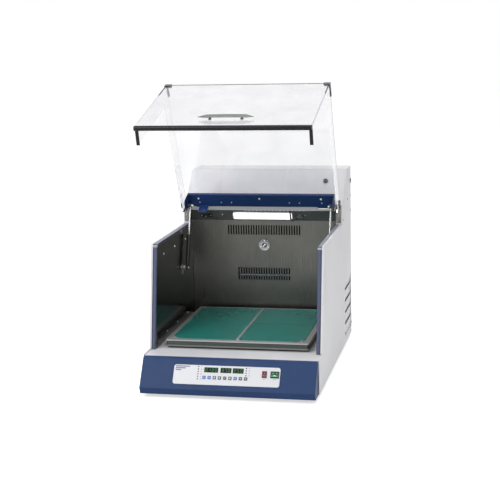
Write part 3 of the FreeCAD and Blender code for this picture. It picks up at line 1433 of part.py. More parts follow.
hood_top = at_height(hood_top_height)
hood_rear = at_depth(s.hood_rear_depth)
edge_out = s.hood_edge_gap
side_low = at_height(wall_head_height) + s.hood_edge_gap
foot_height_inner = s.deck_height + 6.5
foot_inner = (front_edge(foot_height_inner, edge_out), at_height(foot_height_inner))
foot_outer = (foot_inner[0] - s.hood_side_depth * cosine(lean),
              foot_inner[1] + s.hood_side_depth * sine(lean))
outer_reach = edge_out + s.hood_side_depth
hood_outline = [
    foot_inner,
    foot_outer,
    (front_edge(hood_top_height, outer_reach), hood_top),
    (hood_rear, hood_top),
    (hood_rear, side_low),
    (front_edge(wall_head_height + s.hood_edge_gap, edge_out), side_low),
]
hood = Piece("hood_shell")
hood.pad(hood.outline("across", [shut(*point) for point in hood_outline]), hood_width, both=True)
inner_reach = outer_reach - s.hood_sheet
cut_low = foot_height_inner - 60.0
hood_hollow = [
    (front_edge(cut_low, inner_reach), at_height(cut_low)),
    (front_edge(hood_top_height - s.hood_sheet, inner_reach), hood_top - s.hood_sheet),
    (hood_rear + 10.0, hood_top - s.hood_sheet),
    (hood_rear + 10.0, side_low - 20.0),
    (front_edge(cut_low, -60.0), at_height(cut_low)),
]
hood.cut(hood.outline("across", [shut(*point) for point in hood_hollow]),
         hood_width - 2 * s.hood_sheet, both=True)
on_hinge(hood)

# Hood corner caps: dark clips wrapped round the two top front corners of the shell, each with a
# narrow leg that runs back along the edge of the top sheet.
caps = Piece("hood_caps")
cap_skin = 1.6
cap_inner = s.seat_gap
cap_outer = cap_inner + cap_skin
cap_drop = 16.0
cap_width = 19.0
cap_back = 14.0
leg_back = 45.0
leg_width = 7.0
side_drop = 9.0
cap_low = hood_top_height - cap_drop
cap_y = front_edge(hood_top_height, outer_reach)
cap_side = hood_half + cap_inner


def cap_edge(height, out):
    return (front_edge(height, outer_reach + out), at_height(height))


front_band = [
    cap_edge(cap_low, cap_outer), cap_edge(hood_top_height + cap_outer, cap_outer),
    (cap_y + cap_back, hood_top + cap_outer), (cap_y + cap_back, hood_top + cap_inner),
    cap_edge(hood_top_height + cap_inner, cap_inner), cap_edge(cap_low, cap_inner),
]
leg_band = corners((cap_y + cap_back - 1.0, hood_top + cap_inner), (cap_y + leg_back, hood_top + cap_outer))
side_plate = [
    cap_edge(cap_low, cap_outer), cap_edge(hood_top_height + cap_outer, cap_outer),
    (cap_y + leg_back, hood_top + cap_outer), (cap_y + leg_back, hood_top - side_drop),
    (cap_y + cap_back, hood_top - side_drop), (cap_y + side_drop, hood_top - cap_drop),
]
cap_parts = []
for outline, start, width in ((front_band, cap_side - cap_width, cap_width + cap_skin),
                              (leg_band, cap_side - leg_width, leg_width + cap_skin),
                              (side_plate, cap_side, cap_skin)):
    cap_parts.append(caps.pad(caps.outline("across", [shut(*point) for point in outline], start), width))
caps.mirror(cap_parts)
on_hinge(caps)

# Hood seals: round bar under the front edge and flat strips on the ends of the side flanges.
hood_seals = Piece("hood_seals")
bar_radius = 7.5
bar_along = 5.5
bar_drop = bar_radius + s.seat_gap
bar_centre = (foot_outer[0] + bar_along * cosine(lean) - bar_drop * sine(lean),
              foot_outer[1] - bar_along * sine(lean) - bar_drop * cosine(lean))
hood_seals.pad(hood_seals.circle("across", shut(*bar_centre), bar_radius), hood_width, both=True)
strip = 2.5
flange_end = [
    (foot_inner[0], foot_inner[1] - s.seat_gap),
    (foot_outer[0] + 14.0 * cosine(lean), foot_outer[1] - 14.0 * sine(lean) - s.seat_gap),
    (foot_outer[0] + 14.0 * cosine(lean), foot_outer[1] - 14.0 * sine(lean) - s.seat_gap - strip),
    (foot_inner[0], foot_inner[1] - s.seat_gap - strip),
]
front_strip = hood_seals.pad(hood_seals.outline("across", [shut(*point) for point in flange_end],
                                                hood_half - 10.0), 10.0)
rear_strip = hood_seals.pad(hood_seals.rectangle(
    "across", shut(hood_rear + s.seat_gap, side_low), shut(hood_rear + s.seat_gap + strip, hood_top - 6.0),
    hood_half - 8.0), 8.0)
hood_seals.mirror([front_strip, rear_strip])
on_hinge(hood_seals)

# Hood handle: bow with tapered ends on two round stand-offs, on the outside of the front sheet.
handle = Piece("hood_handle")
stand = 20.0
bow_thick = 5.0
bow_half = 7.0
wing_start = s.handle_pitch / 2 + 8
bow = [
    (-1 * s.handle_length / 2, 0.0), (-1 * wing_start, -bow_half), (0.0, -0.75 * bow_half),
    (wing_start, -bow_half), (s.handle_length / 2, 0.0), (wing_start, bow_half), (0.0, 0.75 * bow_half),
    (-1 * wing_start, bow_half),
]
handle.pad(handle.outline("plan", bow, stand), bow_thick)
tip_x = number_of(s.handle_length) / 2 - 1
handle.fillet(14.0, lambda edge: upright(edge) and abs(edge.CenterOfMass.x) < tip_x)
droop = [(s.handle_pitch / 2 + 10, stand + bow_thick), (s.handle_length / 2 + 1, stand + 0.6),
         (s.handle_length / 2 + 1, stand + bow_thick)]
wing = handle.cut(handle.outline("front", droop, 0.0), 4 * bow_half, both=True)
handle.mirror([wing])
posts = handle.sketch("plan", s.seat_gap)
for side in (-1, 1):
    add_circle(posts, (side * s.handle_pitch / 2, 0.0), 4.0)
handle.pad(posts, stand - s.seat_gap)
handle_y = foot_outer[0] + s.handle_rise * sine(lean) - hinge[0]
handle_z = foot_outer[1] + s.handle_rise * cosine(lean) - hinge[1]
open_turn = s.hood_open_angle
handle.place(y=hinge[0] + handle_y * cosine(open_turn) + handle_z * sine(open_turn),
             z=hinge[1] + handle_z * cosine(open_turn) - handle_y * sine(open_turn),
             turn=90 - lean - open_turn)

# Hinge bar: painted channel across the rear of the hood, with knuckles, end plates and the tab.
bar = Piece("hinge_bar")
bar_roof = hood_top - s.hood_sheet - s.seat_gap - hinge[1]
bar_half = inner_side - s.hinge_bar_gap
bar_rear = -6.0
bar.pad(bar.rectangle("across", (bar_rear - s.hinge_bar_width, bar_roof - s.hinge_bar_thickness),
                      (bar_rear, bar_roof)), 2 * bar_half, both=True)
bar_sheet = 2.0
bar.cut(bar.rectangle("across", (bar_rear - s.hinge_bar_width + bar_sheet,
                                 bar_roof - s.hinge_bar_thickness + bar_sheet),
                      (bar_rear - bar_sheet, bar_roof + 1.0)), 2 * bar_half, both=True)
knuckle_side = bar_half - 56.0
knuckle_length = 34.0
barrel = bar.pad(bar.circle("across", (0.0, 0.0), s.hinge_pin_radius + 3.0, knuckle_side), knuckle_length)
tongue = bar.pad(bar.rectangle("across", (bar_rear - 2.0, -8.0), (-4.5, -3.5), knuckle_side), knuckle_length)
bored = bar.cut(bar.circle("across", (0.0, 0.0), s.hinge_pin_radius + s.running_gap,
                           knuckle_side + knuckle_length), knuckle_length)
head_angle = arctangent(s.strut_head_rise / s.strut_head_back)
head_reach = root(s.strut_head_back * s.strut_head_back + s.strut_head_rise * s.strut_head_rise)
shut_turn = s.hood_open_angle - head_angle
head_shut = (-head_reach * cosine(shut_turn), -head_reach * sine(shut_turn))
plate_sheet = 2.5
end_plate = [
    (bar_rear, bar_roof), (bar_rear - s.hinge_bar_width, bar_roof),
    (bar_rear - s.hinge_bar_width, bar_roof - s.hinge_bar_thickness),
    (head_shut[0] - 10, head_shut[1] - 3), (head_shut[0] - 4, head_shut[1] - 10),
    (head_shut[0] + 4, head_shut[1] - 10), (head_shut[0] + 10, head_shut[1] - 3),
    (bar_rear, bar_roof - s.hinge_bar_thickness),
]
plate = bar.pad(bar.outline("across", end_plate, bar_half - 0.5), plate_sheet)
bar.mirror([barrel, tongue, bored, plate])
tab_outline = [(-1 * switch_side - 14, -4.0), (-1 * switch_side + 14, -4.0),
               (-1 * switch_side + 9, -22.0), (-1 * switch_side + 3, -26.0),
               (-1 * switch_side - 7, -26.0), (-1 * switch_side - 12, -22.0)]
bar.pad(bar.outline("front", tab_outline, -8.0), 2.0)
on_hinge(bar)

# Hinge brackets: ears on the header at both sides of each knuckle, each with its pin.
brackets = Piece("hinge_brackets")
header_y = at_depth(s.header_depth)
ear_outline = [(header_y - s.seat_gap, hinge[1] - 11.0), (header_y - s.seat_gap, hinge[1] + 6.0),
               (hinge[0], hinge[1] + 6.0), (hinge[0] - 5.0, hinge[1]), (hinge[0] - 3.0, hinge[1] - 6.0)]
ear_sheet = 3.0
ears = []
for ear_x in (knuckle_side - 4.0, knuckle_side + knuckle_length + 1.0):
    ears.append(brackets.pad(brackets.outline("across", ear_outline, ear_x), ear_sheet))
pin = brackets.pad(brackets.circle("across", hinge, s.hinge_pin_radius, knuckle_side - 4.0),
                   knuckle_length + 8.0)
strap = brackets.pad(brackets.rectangle("front", (knuckle_side - 4.0, hinge[1] - 11.0),
                                        (knuckle_side + knuckle_length + 4.0, hinge[1] - 8.0),
                                        header_y - s.seat_gap), 2.0)
brackets.mirror(ears + [pin, strap])
brackets.fillet(2.5, lambda edge: parallel(edge, (1, 0, 0)) and edge.Length < ear_sheet + 0.01
                and edge.CenterOfMass.y < number_of(hinge[0]) + 0.01)

# Gas struts: drawn upright on the lower ball and leaned to the upper one.
head_open = (hinge[0] - s.strut_head_back, hinge[1] + s.strut_head_rise)
foot_ball = (stud_y, stud_z)
strut_run = head_open[0] - foot_ball[0]
strut_rise = head_open[1] - foot_ball[1]
strut_length = root(strut_run * strut_run + strut_rise * strut_rise)
strut_turn = arctangent(strut_run / strut_rise)
eye = 6.0
for name, side in (("left", -1), ("right", 1)):
    tube = Piece(f"strut_tube_{name}")
    neck = eye + 3.0
    tube.pad(tube.circle("plan", (0.0, 0.0), s.strut_tube_radius, neck), s.strut_tube_length - neck)
    tube.cut(tube.circle("plan", (0.0, 0.0), s.strut_rod_radius + s.running_gap, s.strut_tube_length),
             s.strut_tube_length - neck - 4.0)
    tube.pad(tube.circle("across", (0.0, 0.0), eye), 8.0, both=True)
    tube.pad(tube.circle("plan", (0.0, 0.0), 3.4, 3.0), neck - 3.0)
    tube.place(x=side * strut_side, y=foot_ball[0], z=foot_ball[1], turn=strut_turn, about=(-1, 0, 0))
    strut_rod = Piece(f"strut_rod_{name}")
    rod_low = s.strut_tube_length - 52.0
    strut_rod.pad(strut_rod.circle("plan", (0.0, 0.0), s.strut_rod_radius, rod_low),
                  strut_length - rod_low - 4.0)
    strut_rod.pad(strut_rod.circle("across", (0.0, strut_length), eye), 7.0, both=True)
    stud_length = bar_half - 0.5 - strut_side - s.seat_gap
    strut_rod.pad(strut_rod.circle("across", (0.0, strut_length), 3.0), stud_length, back=side < 0)
    strut_rod.place(x=side * strut_side, y=foot_ball[0], z=foot_ball[1], turn=strut_turn,
                    about=(-1, 0, 0))

# Lamp cable: short lead that drops from the header and turns up into the gland of the lamp.
cable_radius = 1.8
cable_y = number_of(header_y) - 4.5
header_z = number_of(header_low)
gland_y = number_of(back_y - gland_rise * sine(plate_lean) - gland_out * cosine(plate_lean))
gland_z = number_of(lamp_plate_low + gland_rise * cosine(plate_lean) - gland_out * sine(plate_lean))
route = [
    (88.0, cable_y, header_z - 0.3),
    (87.0, cable_y, header_z - 18.0),
    (92.0, cable_y + 1.0, header_z - 34.0),
    (105.0, gland_y - 1.0, gland_z - 6.0),
    (gland_side + gland_gap - gland_nose - 1.3, gland_y, gland_z),
]


def tube_along(points, radius):
    """Round tube on straight runs joined by tangent arcs, as large as the runs allow."""
    spots = [VECTOR(*point) for point in points]
    edges = []
    start = spots[0]
    for before, corner, after in zip(spots, spots[1:], spots[2:]):
        back = (before - corner).normalize()
        ahead = (after - corner).normalize()
        turn = math.pi - back.getAngle(ahead)
        shorter = min(before.distanceToPoint(corner), corner.distanceToPoint(after))
        bend_radius = 0.45 * shorter / math.tan(turn / 2)
        reach = bend_radius * math.tan(turn / 2)
        centre = corner + (back + ahead).normalize() * (bend_radius / math.cos(turn / 2))
        near = corner + back * reach
        far = corner + ahead * reach
        middle = centre + (corner - centre).normalize() * bend_radius
        edges.append(Part.LineSegment(start, near).toShape())
        edges.append(Part.Arc(near, middle, far).toShape())
        start = far
        print("cable bend radius", round(bend_radius, 1))
    edges.append(Part.LineSegment(start, spots[-1]).toShape())
    wire = Part.Wire(edges)
    ring = Part.Wire([Part.Circle(spots[0], spots[1] - spots[0], radius).toShape()])
    made = wire.makePipeShell([ring], True, False)
    print("cable volume ratio", round(made.Volume / (math.pi * radius ** 2 * wire.Length), 4))
    return made


cable = doc.addObject("Part::Feature", "lamp_cable")
cable.Label = "lamp_cable"
cable.Shape = tube_along(route, cable_radius)
pieces.append(cable)

# Recompute, check every object and write one file for each sub-part.
doc.recompute()
faults = []
for item in doc.Objects:
    if "Invalid" in item.State or "Error" in item.State:
        faults.append(f"{item.Name} {item.State}")
for made in cuts:
    before = made.BaseFeature.Shape.Volume
    if made.Shape.isNull() or before - made.Shape.Volume < 0.01:
        faults.append(f"{made.Name} cuts nothing")
for item in pieces:
    if item.Shape.isNull() or not item.Shape.isValid():
        faults.append(f"{item.Label} has no valid shape")
if faults:
    raise RuntimeError("; ".join(faults))
os.makedirs("parts", exist_ok=True)
for item in pieces:
    item.Shape.exportStep(f"parts/{item.Label}.step")
print(len(pieces), "sub-parts written")
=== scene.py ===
import json
import math

import bmesh
import bpy
from mathutils import Matrix, Vector
from mathutils.bvhtree import BVHTree


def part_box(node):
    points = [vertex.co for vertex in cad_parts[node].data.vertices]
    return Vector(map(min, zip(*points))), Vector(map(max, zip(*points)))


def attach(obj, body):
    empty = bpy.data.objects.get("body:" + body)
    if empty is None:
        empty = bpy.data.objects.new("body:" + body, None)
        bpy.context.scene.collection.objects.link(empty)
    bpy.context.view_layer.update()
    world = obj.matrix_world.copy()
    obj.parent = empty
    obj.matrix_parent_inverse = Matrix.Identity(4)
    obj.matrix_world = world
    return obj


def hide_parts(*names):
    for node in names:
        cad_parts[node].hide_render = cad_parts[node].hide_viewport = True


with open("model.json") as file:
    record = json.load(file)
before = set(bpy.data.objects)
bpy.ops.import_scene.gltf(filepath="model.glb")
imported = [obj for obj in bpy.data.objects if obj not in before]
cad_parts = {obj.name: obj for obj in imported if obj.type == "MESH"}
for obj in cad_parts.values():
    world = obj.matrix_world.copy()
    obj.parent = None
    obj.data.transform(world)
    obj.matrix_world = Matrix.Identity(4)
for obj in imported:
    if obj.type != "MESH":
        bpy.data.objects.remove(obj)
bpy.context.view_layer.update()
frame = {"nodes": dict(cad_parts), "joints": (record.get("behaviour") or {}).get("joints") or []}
nodes = frame["nodes"]
MM = 0.001


# Base pan: a folded sheet-steel tray in satin grey paint, the floor that everything is bolted to.
# It stands on four turned rubber feet, screwed on from below.
def shader_of(material):
    """The node that holds the material's surface."""
    return material.node_tree.nodes["Principled BSDF"]


def start_finish(name, colour, roughness, metallic=0.0):
    """A new material, its tree and its shader, with the plain values on the shader itself."""
    material = bpy.data.materials.new(name)
    material.use_nodes = True
    shader = shader_of(material)
    shader.inputs["Base Color"].default_value = (*colour, 1.0)
    shader.inputs["Roughness"].default_value = roughness
    shader.inputs["Metallic"].default_value = metallic
    return material, material.node_tree, shader


def object_grain(tree, scale, stretch=(1.0, 1.0, 1.0), detail=3.0, rough=0.5):
    """Noise that is fixed to the piece, drawn out along an axis where stretch is small there."""
    place = tree.nodes.new("ShaderNodeTexCoord")
    turn = tree.nodes.new("ShaderNodeMapping")
    turn.inputs["Scale"].default_value = stretch
    grain = tree.nodes.new("ShaderNodeTexNoise")
    grain.inputs["Scale"].default_value = scale
    grain.inputs["Detail"].default_value = detail
    grain.inputs["Roughness"].default_value = rough
    tree.links.new(place.outputs["Object"], turn.inputs["Vector"])
    tree.links.new(turn.outputs["Vector"], grain.inputs["Vector"])
    return grain.outputs["Fac"]


def spread(tree, value, low, high, start=0.3, end=0.7):
    """The value, remapped so that start gives low and end gives high."""
    scale = tree.nodes.new("ShaderNodeMapRange")
    scale.inputs["From Min"].default_value = start
    scale.inputs["From Max"].default_value = end
    scale.inputs["To Min"].default_value = low
    scale.inputs["To Max"].default_value = high
    tree.links.new(value, scale.inputs["Value"])
    return scale.outputs["Result"]


def tint(tree, value, dark, light, start=0.3, end=0.7):
    """A colour between dark and light that follows the value."""
    ramp = tree.nodes.new("ShaderNodeValToRGB")
    ramp.color_ramp.elements[0].position = start
    ramp.color_ramp.elements[0].color = (*dark, 1.0)
    ramp.color_ramp.elements[1].position = end
    ramp.color_ramp.elements[1].color = (*light, 1.0)
    tree.links.new(value, ramp.inputs["Fac"])
    return ramp.outputs["Color"]


def raise_grain(tree, shader, value, height, strength=1.0):
    """Bump of the given height in metres."""
    bump = tree.nodes.new("ShaderNodeBump")
    bump.inputs["Distance"].default_value = height
    bump.inputs["Strength"].default_value = strength
    tree.links.new(value, bump.inputs["Height"])
    tree.links.new(bump.outputs["Normal"], shader.inputs["Normal"])


def shade(colour, factor):
    """The colour made darker or lighter by the factor."""
    return tuple(channel * factor for channel in colour)


def vary_tone(tree, shader, value, colour, dark, light):
    """Base colour that follows the value between two shades of the colour."""
    tone = tint(tree, value, shade(colour, dark), shade(colour, light))
    tree.links.new(tone, shader.inputs["Base Color"])


def vary_gloss(tree, shader, value, roughness, less, more):
    """Roughness that follows the value from a little less to a little more than the given one."""
    tree.links.new(spread(tree, value, roughness - less, roughness + more), shader.inputs["Roughness"])


def sheet_paint(name, colour, gloss, peel=1.0, sheen=0.5):
    """Stoved powder paint: faint orange peel, a slight drift of tone and finger-dulled gloss."""
    material, tree, shader = start_finish(name, colour, gloss)
    vary_tone(tree, shader, object_grain(tree, 3.0, detail=4.0), colour, 0.95, 1.03)
    vary_gloss(tree, shader, object_grain(tree, 24.0, detail=6.0, rough=0.65), gloss, 0.05, 0.07)
    raise_grain(tree, shader, object_grain(tree, 1100.0, detail=1.0), 0.00006 * peel, 0.35)
    shader.inputs["Specular IOR Level"].default_value = sheen
    return material


def rubber(name, colour, roughness=0.62):
    """Rubber with a dusty bloom and a fine dry skin."""
    material, tree, shader = start_finish(name, colour, roughness)
    bloom = object_grain(tree, 60.0, detail=5.0)
    vary_tone(tree, shader, bloom, colour, 0.85, 1.2)
    vary_gloss(tree, shader, bloom, roughness, 0.06, 0.08)
    raise_grain(tree, shader, object_grain(tree, 1800.0, detail=2.0), 0.00005, 0.5)
    return material


def dress(material, *names):
    """Puts the material on these nodes of the frame."""
    for name in names:
        for place in nodes[name].material_slots:
            place.material = material


pan_paint = sheet_paint("pan_paint", (0.34, 0.35, 0.36), 0.45)
foot_rubber = rubber("foot_rubber", (0.02, 0.02, 0.021))
dress(pan_paint, "base_pan")
dress(foot_rubber, "feet")


# Drive: a cast bearing column for each of three cranks, a motor with a small toothed pulley, a
# belt and a large pulley. The shafts are ground, the pulleys turned and the motor is enamelled.
def turned_metal(name, colour, roughness, metallic=1.0):
    """Turned or ground metal with fine marks round its upright axis."""
    material, tree, shader = start_finish(name, colour, roughness, metallic)
    marks = object_grain(tree, 900.0, stretch=(0.02, 0.02, 1.0), detail=2.0)
    vary_gloss(tree, shader, marks, roughness, 0.07, 0.12)
    vary_tone(tree, shader, object_grain(tree, 35.0, detail=5.0), colour, 0.82, 1.05)
    raise_grain(tree, shader, marks, 0.00002, 0.3)
    return material


def cast_metal(name, colour, roughness):
    """Cast metal with a coarse, mottled skin."""
    material, tree, shader = start_finish(name, colour, roughness, 0.85)
    skin = object_grain(tree, 380.0, detail=5.0, rough=0.6)
    vary_tone(tree, shader, skin, colour, 0.7, 1.15)
    vary_gloss(tree, shader, skin, roughness, 0.1, 0.15)
    raise_grain(tree, shader, skin, 0.0003, 0.5)
    return material


shaft_steel = turned_metal("shaft_steel", (0.56, 0.56, 0.57), 0.22)
pulley_alloy = turned_metal("pulley_alloy", (0.64, 0.65, 0.67), 0.3)
bearing_casting = cast_metal("bearing_casting", (0.24, 0.245, 0.25), 0.5)
motor_enamel = sheet_paint("motor_enamel", (0.045, 0.048, 0.052), 0.38)
belt_rubber = rubber("belt_rubber", (0.016, 0.016, 0.017))
dress(shaft_steel, "drive_shaft", "idler_left", "idler_right")
dress(pulley_alloy, "drive_pulley", "motor_pulley")
dress(bearing_casting, "bearing_housings")
dress(motor_enamel, "drive_motor", "fan_motor")
dress(belt_rubber, "drive_belt")


# White casing: deck, side covers, sloping housing face, rear cover and rear panel, all folded
# sheet steel in the same fine satin white, screwed together along their flanges, with black
# screws at the sides and plated ones at the back.
white_paint = sheet_paint("white_paint", (0.70, 0.70, 0.725), 0.4)
dress(white_paint, "deck", "side_cover_left", "side_cover_right", "housing_face", "rear_cover",
      "rear_panel")
crease = math.radians(35.0)


def new_piece(name, shape, material, body):
    """A finished mesh as a piece of its own that rides on a body, smooth between its creases."""
    mesh = bpy.data.meshes.new(name)
    bmesh.ops.recalc_face_normals(shape, faces=shape.faces[:])
    shape.to_mesh(mesh)
    shape.free()
    for face in mesh.polygons:
        face.use_smooth = True
    mesh.set_sharp_from_angle(angle=crease)
    mesh.materials.append(material)
    piece = bpy.data.objects.new(name, mesh)
    bpy.context.scene.collection.objects.link(piece)
    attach(piece, body)
    return piece


def facing(spot, outward):
    """A frame at a spot whose Z is the outward direction and whose X is level."""
    out = Vector(outward).normalized()
    level = Vector((0, 1, 0)) if abs(out.x) > 0.9 else Vector((1, 0, 0))
    up = out.cross(level).normalized()
    return Matrix.Translation(spot) @ Matrix((up.cross(out), up, out)).transposed().to_4x4()


surfaces = {}


def seat(name, start, direction):
    """The frame where a line from start meets a node, its Z along the surface's normal."""
    if name not in surfaces:
        shape = bmesh.new()
        shape.from_mesh(nodes[name].data)
        surfaces[name] = BVHTree.FromBMesh(shape)
        shape.free()
    spot, normal = surfaces[name].ray_cast(Vector(start), Vector(direction))[:2]
    return facing(spot, normal if normal.dot(Vector(direction)) < 0 else -normal)


def turned(outline, steps=24):
    """A body of revolution about its own Z, from an outline of radii and heights in millimetres."""
    shape = bmesh.new()
    points = [shape.verts.new((radius * MM, 0.0, height * MM)) for radius, height in outline]
    edges = [shape.edges.new(pair) for pair in zip(points, points[1:])]
    bmesh.ops.spin(shape, geom=points + edges, cent=(0, 0, 0), axis=(0, 0, 1), angle=math.tau,
                   steps=steps, use_merge=True)
    bmesh.ops.remove_doubles(shape, verts=shape.verts[:], dist=0.0005 * MM)
    return shape


def pan_head(radius):
    """The head of a pan-head screw with a hexagon recess."""
    sunk = -0.2
    rise = radius * 0.55
    socket = radius * 0.46
    socket_floor = rise * 0.4
    shape = turned([(0.0, sunk), (radius, sunk), (radius, rise * 0.35), (radius * 0.93, rise * 0.7),
                    (radius * 0.75, rise * 0.93), (radius * 0.56, rise), (socket, rise),
                    (socket, socket_floor), (0.0, socket_floor)])
    side = math.pi / 3
    for vert in shape.verts:
        away = vert.co.xy.length
        if vert.co.z > 0 and 0 < away < socket * MM * 1.01:
            turn = math.atan2(vert.co.y, vert.co.x) % side
            vert.co.xy *= math.cos(side / 2) / math.cos(turn - side / 2)
    return shape


def add_copies(shape, unit, frames):
    """Adds a copy of the unit to the shape at each frame, and uses up the unit."""
    pattern = bpy.data.meshes.new("pattern")
    unit.to_mesh(pattern)
    unit.free()
    for place in frames:
        copy = pattern.copy()
        copy.transform(place)
        shape.from_mesh(copy)
        bpy.data.meshes.remove(copy)
    bpy.data.meshes.remove(pattern)


next_turn = 0.7  # radians


def copies(name, unit, frames, material, body):
    """One piece with a copy of the unit at each frame, each turned on from the one before."""
    shape = bmesh.new()
    add_copies(shape, unit, [place @ Matrix.Rotation(index * next_turn, 4, "Z")
                             for index, place in enumerate(frames)])
    new_piece(name, shape, material, body)


def screws(name, body, radius, frames):
    """One piece that holds all the plated pan-head screws of a row."""
    copies(name, pan_head(radius), frames, screw_plating, body)


screw_plating = turned_metal("screw_plating", (0.88, 0.88, 0.88), 0.36)
screw_black = turned_metal("screw_black", (0.10, 0.10, 0.105), 0.4)
rear_low, rear_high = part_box("rear_cover")
hem = 3.5 * MM
beside = 0.4
behind = 0.6
casing_screw = 2.6
cover_screws = []
back_screws = []
for side, hand in ((-1, "left"), (1, "right")):
    for node, y, z in ((f"side_cover_{hand}", 0.2075, 0.448),
                       ("rear_cover", rear_high.y - hem, 0.450), ("rear_cover", 0.3285, 0.500),
                       ("rear_cover", rear_high.y - hem, 0.501), ("rear_cover", rear_low.y + hem, 0.049),
                       ("rear_cover", rear_high.y - hem, 0.048)):
        cover_screws.append(seat(node, (side * beside, y, z), (-side, 0, 0)))
    for z in (0.045, 0.215, 0.385, 0.545):
        back_screws.append(seat("rear_panel", (side * 0.258, behind, z), (0, -1, 0)))
for x in (-0.129, 0.0, 0.129):
    back_screws.append(seat("rear_panel", (x, behind, rear_high.z - 0.012), (0, -1, 0)))
copies("cover_screws", pan_head(casing_screw), cover_screws, screw_black, "root")
screws("back_screws", "root", casing_screw, back_screws)


# Blind plug: a soft black button that closes the unused cable hole in the right of the top cover.
plug_rubber = rubber("plug_rubber", (0.02, 0.02, 0.022), 0.5)
plug = turned([(0.0, -4.0), (5.9, -4.0), (6.1, 0.0), (8.6, 0.0), (8.6, 0.9), (7.6, 1.9), (5.2, 2.5),
               (0.0, 2.8)])
plug_place = facing((rear_high.x, 0.4035, 0.555), (1, 0, 0))
copies("side_plug", plug, [plug_place], plug_rubber, "root")


# Chamber liners: brushed stainless panels on both sides, closed by pan-head screws along the top
# and along the lower rail.
def brushed_steel(name, colour, roughness, stretch, streak=0.5, metallic=1.0):
    """Stainless sheet whose brushing runs along the axis with the smallest stretch."""
    material, tree, shader = start_finish(name, colour, roughness, metallic)
    brushing = object_grain(tree, 420.0, stretch=stretch, detail=3.0)
    vary_gloss(tree, shader, brushing, roughness, 0.06, 0.08)
    vary_tone(tree, shader, object_grain(tree, 5.0, detail=5.0, rough=0.6), colour, 0.82, 1.12)
    raise_grain(tree, shader, brushing, 0.00003, streak)
    return material


liner_steel = brushed_steel("liner_steel", (0.17, 0.165, 0.155), 0.17, (1.0, 0.015, 1.0))
dress(liner_steel, "side_liners")
inside = 0.2
top_row = 0.393
rail_row = 0.1405
liner_screws = []
for side in (-1, 1):
    for y, z in ((-0.1545, top_row), (-0.0225, top_row), (0.1135, top_row),
                 (-0.1485, rail_row), (-0.0215, rail_row), (0.1095, rail_row)):
        liner_screws.append(seat("side_liners", (side * inside, y, z), (side, 0, 0)))
screws("liner_screws", "root", 3.0, liner_screws)


# Riser plates: dark stainless strips on the step of each wall, held by one screw.
def round_off(shape, edges, radius, segments):
    """Rounds the edges with this radius in millimetres."""
    bmesh.ops.bevel(shape, geom=list(edges), offset=radius * MM, offset_type="OFFSET",
                    segments=segments, profile=0.5, affect="EDGES", material=-1)


def block(shape, place, size, soften=0.0, segments=2):
    """A box in millimetres, centred on a frame, with its edges rounded."""
    scale = Matrix.Diagonal((size[0] * MM, size[1] * MM, size[2] * MM, 1.0))
    made = bmesh.ops.create_cube(shape, size=1.0, matrix=place @ scale)["verts"]
    if soften:
        round_off(shape, {edge for vert in made for edge in vert.link_edges}, soften, segments)


risers = bmesh.new()
riser_screws = []
for side in (-1, 1):
    block(risers, Matrix.Translation((side * 0.2592, 0.1759, 0.4805)), (15.0, 0.9, 75.0))
    riser_screws.append(facing((side * 0.2610, 0.17650, 0.4660), (0, -1, 0)))
new_piece("riser_plates", risers, liner_steel, "root")
screws("riser_screws", "root", 2.0, riser_screws)


# Wall seals: half-round silicone strips in blue-grey along the edges that the hood closes on, paler
# where they face up through a painted highlight, with a light mitre piece at the front corner of each
# wall.
def along_axis(tree, source, output, axis):
    """One axis of a vector that a new source node gives."""
    split = tree.nodes.new("ShaderNodeSeparateXYZ")
    tree.links.new(tree.nodes.new(source).outputs[output], split.inputs[0])
    return split.outputs[axis]


seal_blue = (0.066, 0.08, 0.15)
seal_silicone = rubber("seal_silicone", seal_blue, 0.45)
seal_tree = seal_silicone.node_tree
# Painted highlight: the seal colour turns paler as the surface faces up, standing in for light from above.
upward = along_axis(seal_tree, "ShaderNodeNewGeometry", "Normal", "Z")
seal_painted_highlight = tint(seal_tree, upward, seal_blue, (0.25, 0.26, 0.31), 0.25, 0.75)
seal_tree.links.new(seal_painted_highlight, shader_of(seal_silicone).inputs["Base Color"])
dress(seal_silicone, "wall_seals")
corner_rubber = rubber("corner_rubber", (0.42, 0.43, 0.46), 0.5)
mitre_lean = Matrix.Rotation(math.radians(20.0), 4, "X")
mitres = bmesh.new()
for side in (-1, 1):
    mitre_place = Matrix.Translation((side * 0.2572, -0.2226, 0.4306)) @ mitre_lean
    block(mitres, mitre_place, (13.5, 12.0, 8.0), 2.2, 3)
new_piece("seal_mitres", mitres, corner_rubber, "root")

# Back wall and lamp plate: brushed stainless, with the grain upright on the wall and level on the
# plate. A round cover with three screws sits in the wall's middle, with a vane in its dark well.
back_steel = brushed_steel("back_steel", (0.108, 0.108, 0.100), 0.32, (1.0, 1.0, 0.02), 0.18)
dress(back_steel, "back_wall")
plate_steel = brushed_steel("plate_steel", (0.17, 0.17, 0.168), 0.42, (0.02, 1.0, 1.0), metallic=0.55)
dress(plate_steel, "lamp_plate")
polished = turned_metal("polished_steel", (0.72, 0.72, 0.72), 0.16)
disc_steel = turned_metal("disc_steel", (0.40, 0.40, 0.40), 0.3, metallic=0.6)
hub_place = seat("back_wall", (0.0, 0.1, 0.357), (0, 1, 0))
disc_face = 0.8
disc = turned([(0.0, -0.2), (19.5, -0.2), (19.5, 0.7), (18.9, 1.2), (17.6, 1.2), (17.0, disc_face),
               (9.0, disc_face), (0.0, disc_face)], 48)
copies("hub_disc", disc, [hub_place], disc_steel, "root")
outward = Matrix.Translation((14.2 * MM, 0, disc_face * MM))
hub_screws = [hub_place @ (Matrix.Rotation(math.radians(turn), 4, "Z") @ outward)
              for turn in (90, 210, 330)]
screws("hub_screws", "root", 2.6, hub_screws)
well = turned([(0.0, 0.7), (8.6, 0.7), (8.6, 1.6), (8.0, 2.2), (6.8, 2.2), (6.4, 1.2), (0.0, 1.2)], 32)
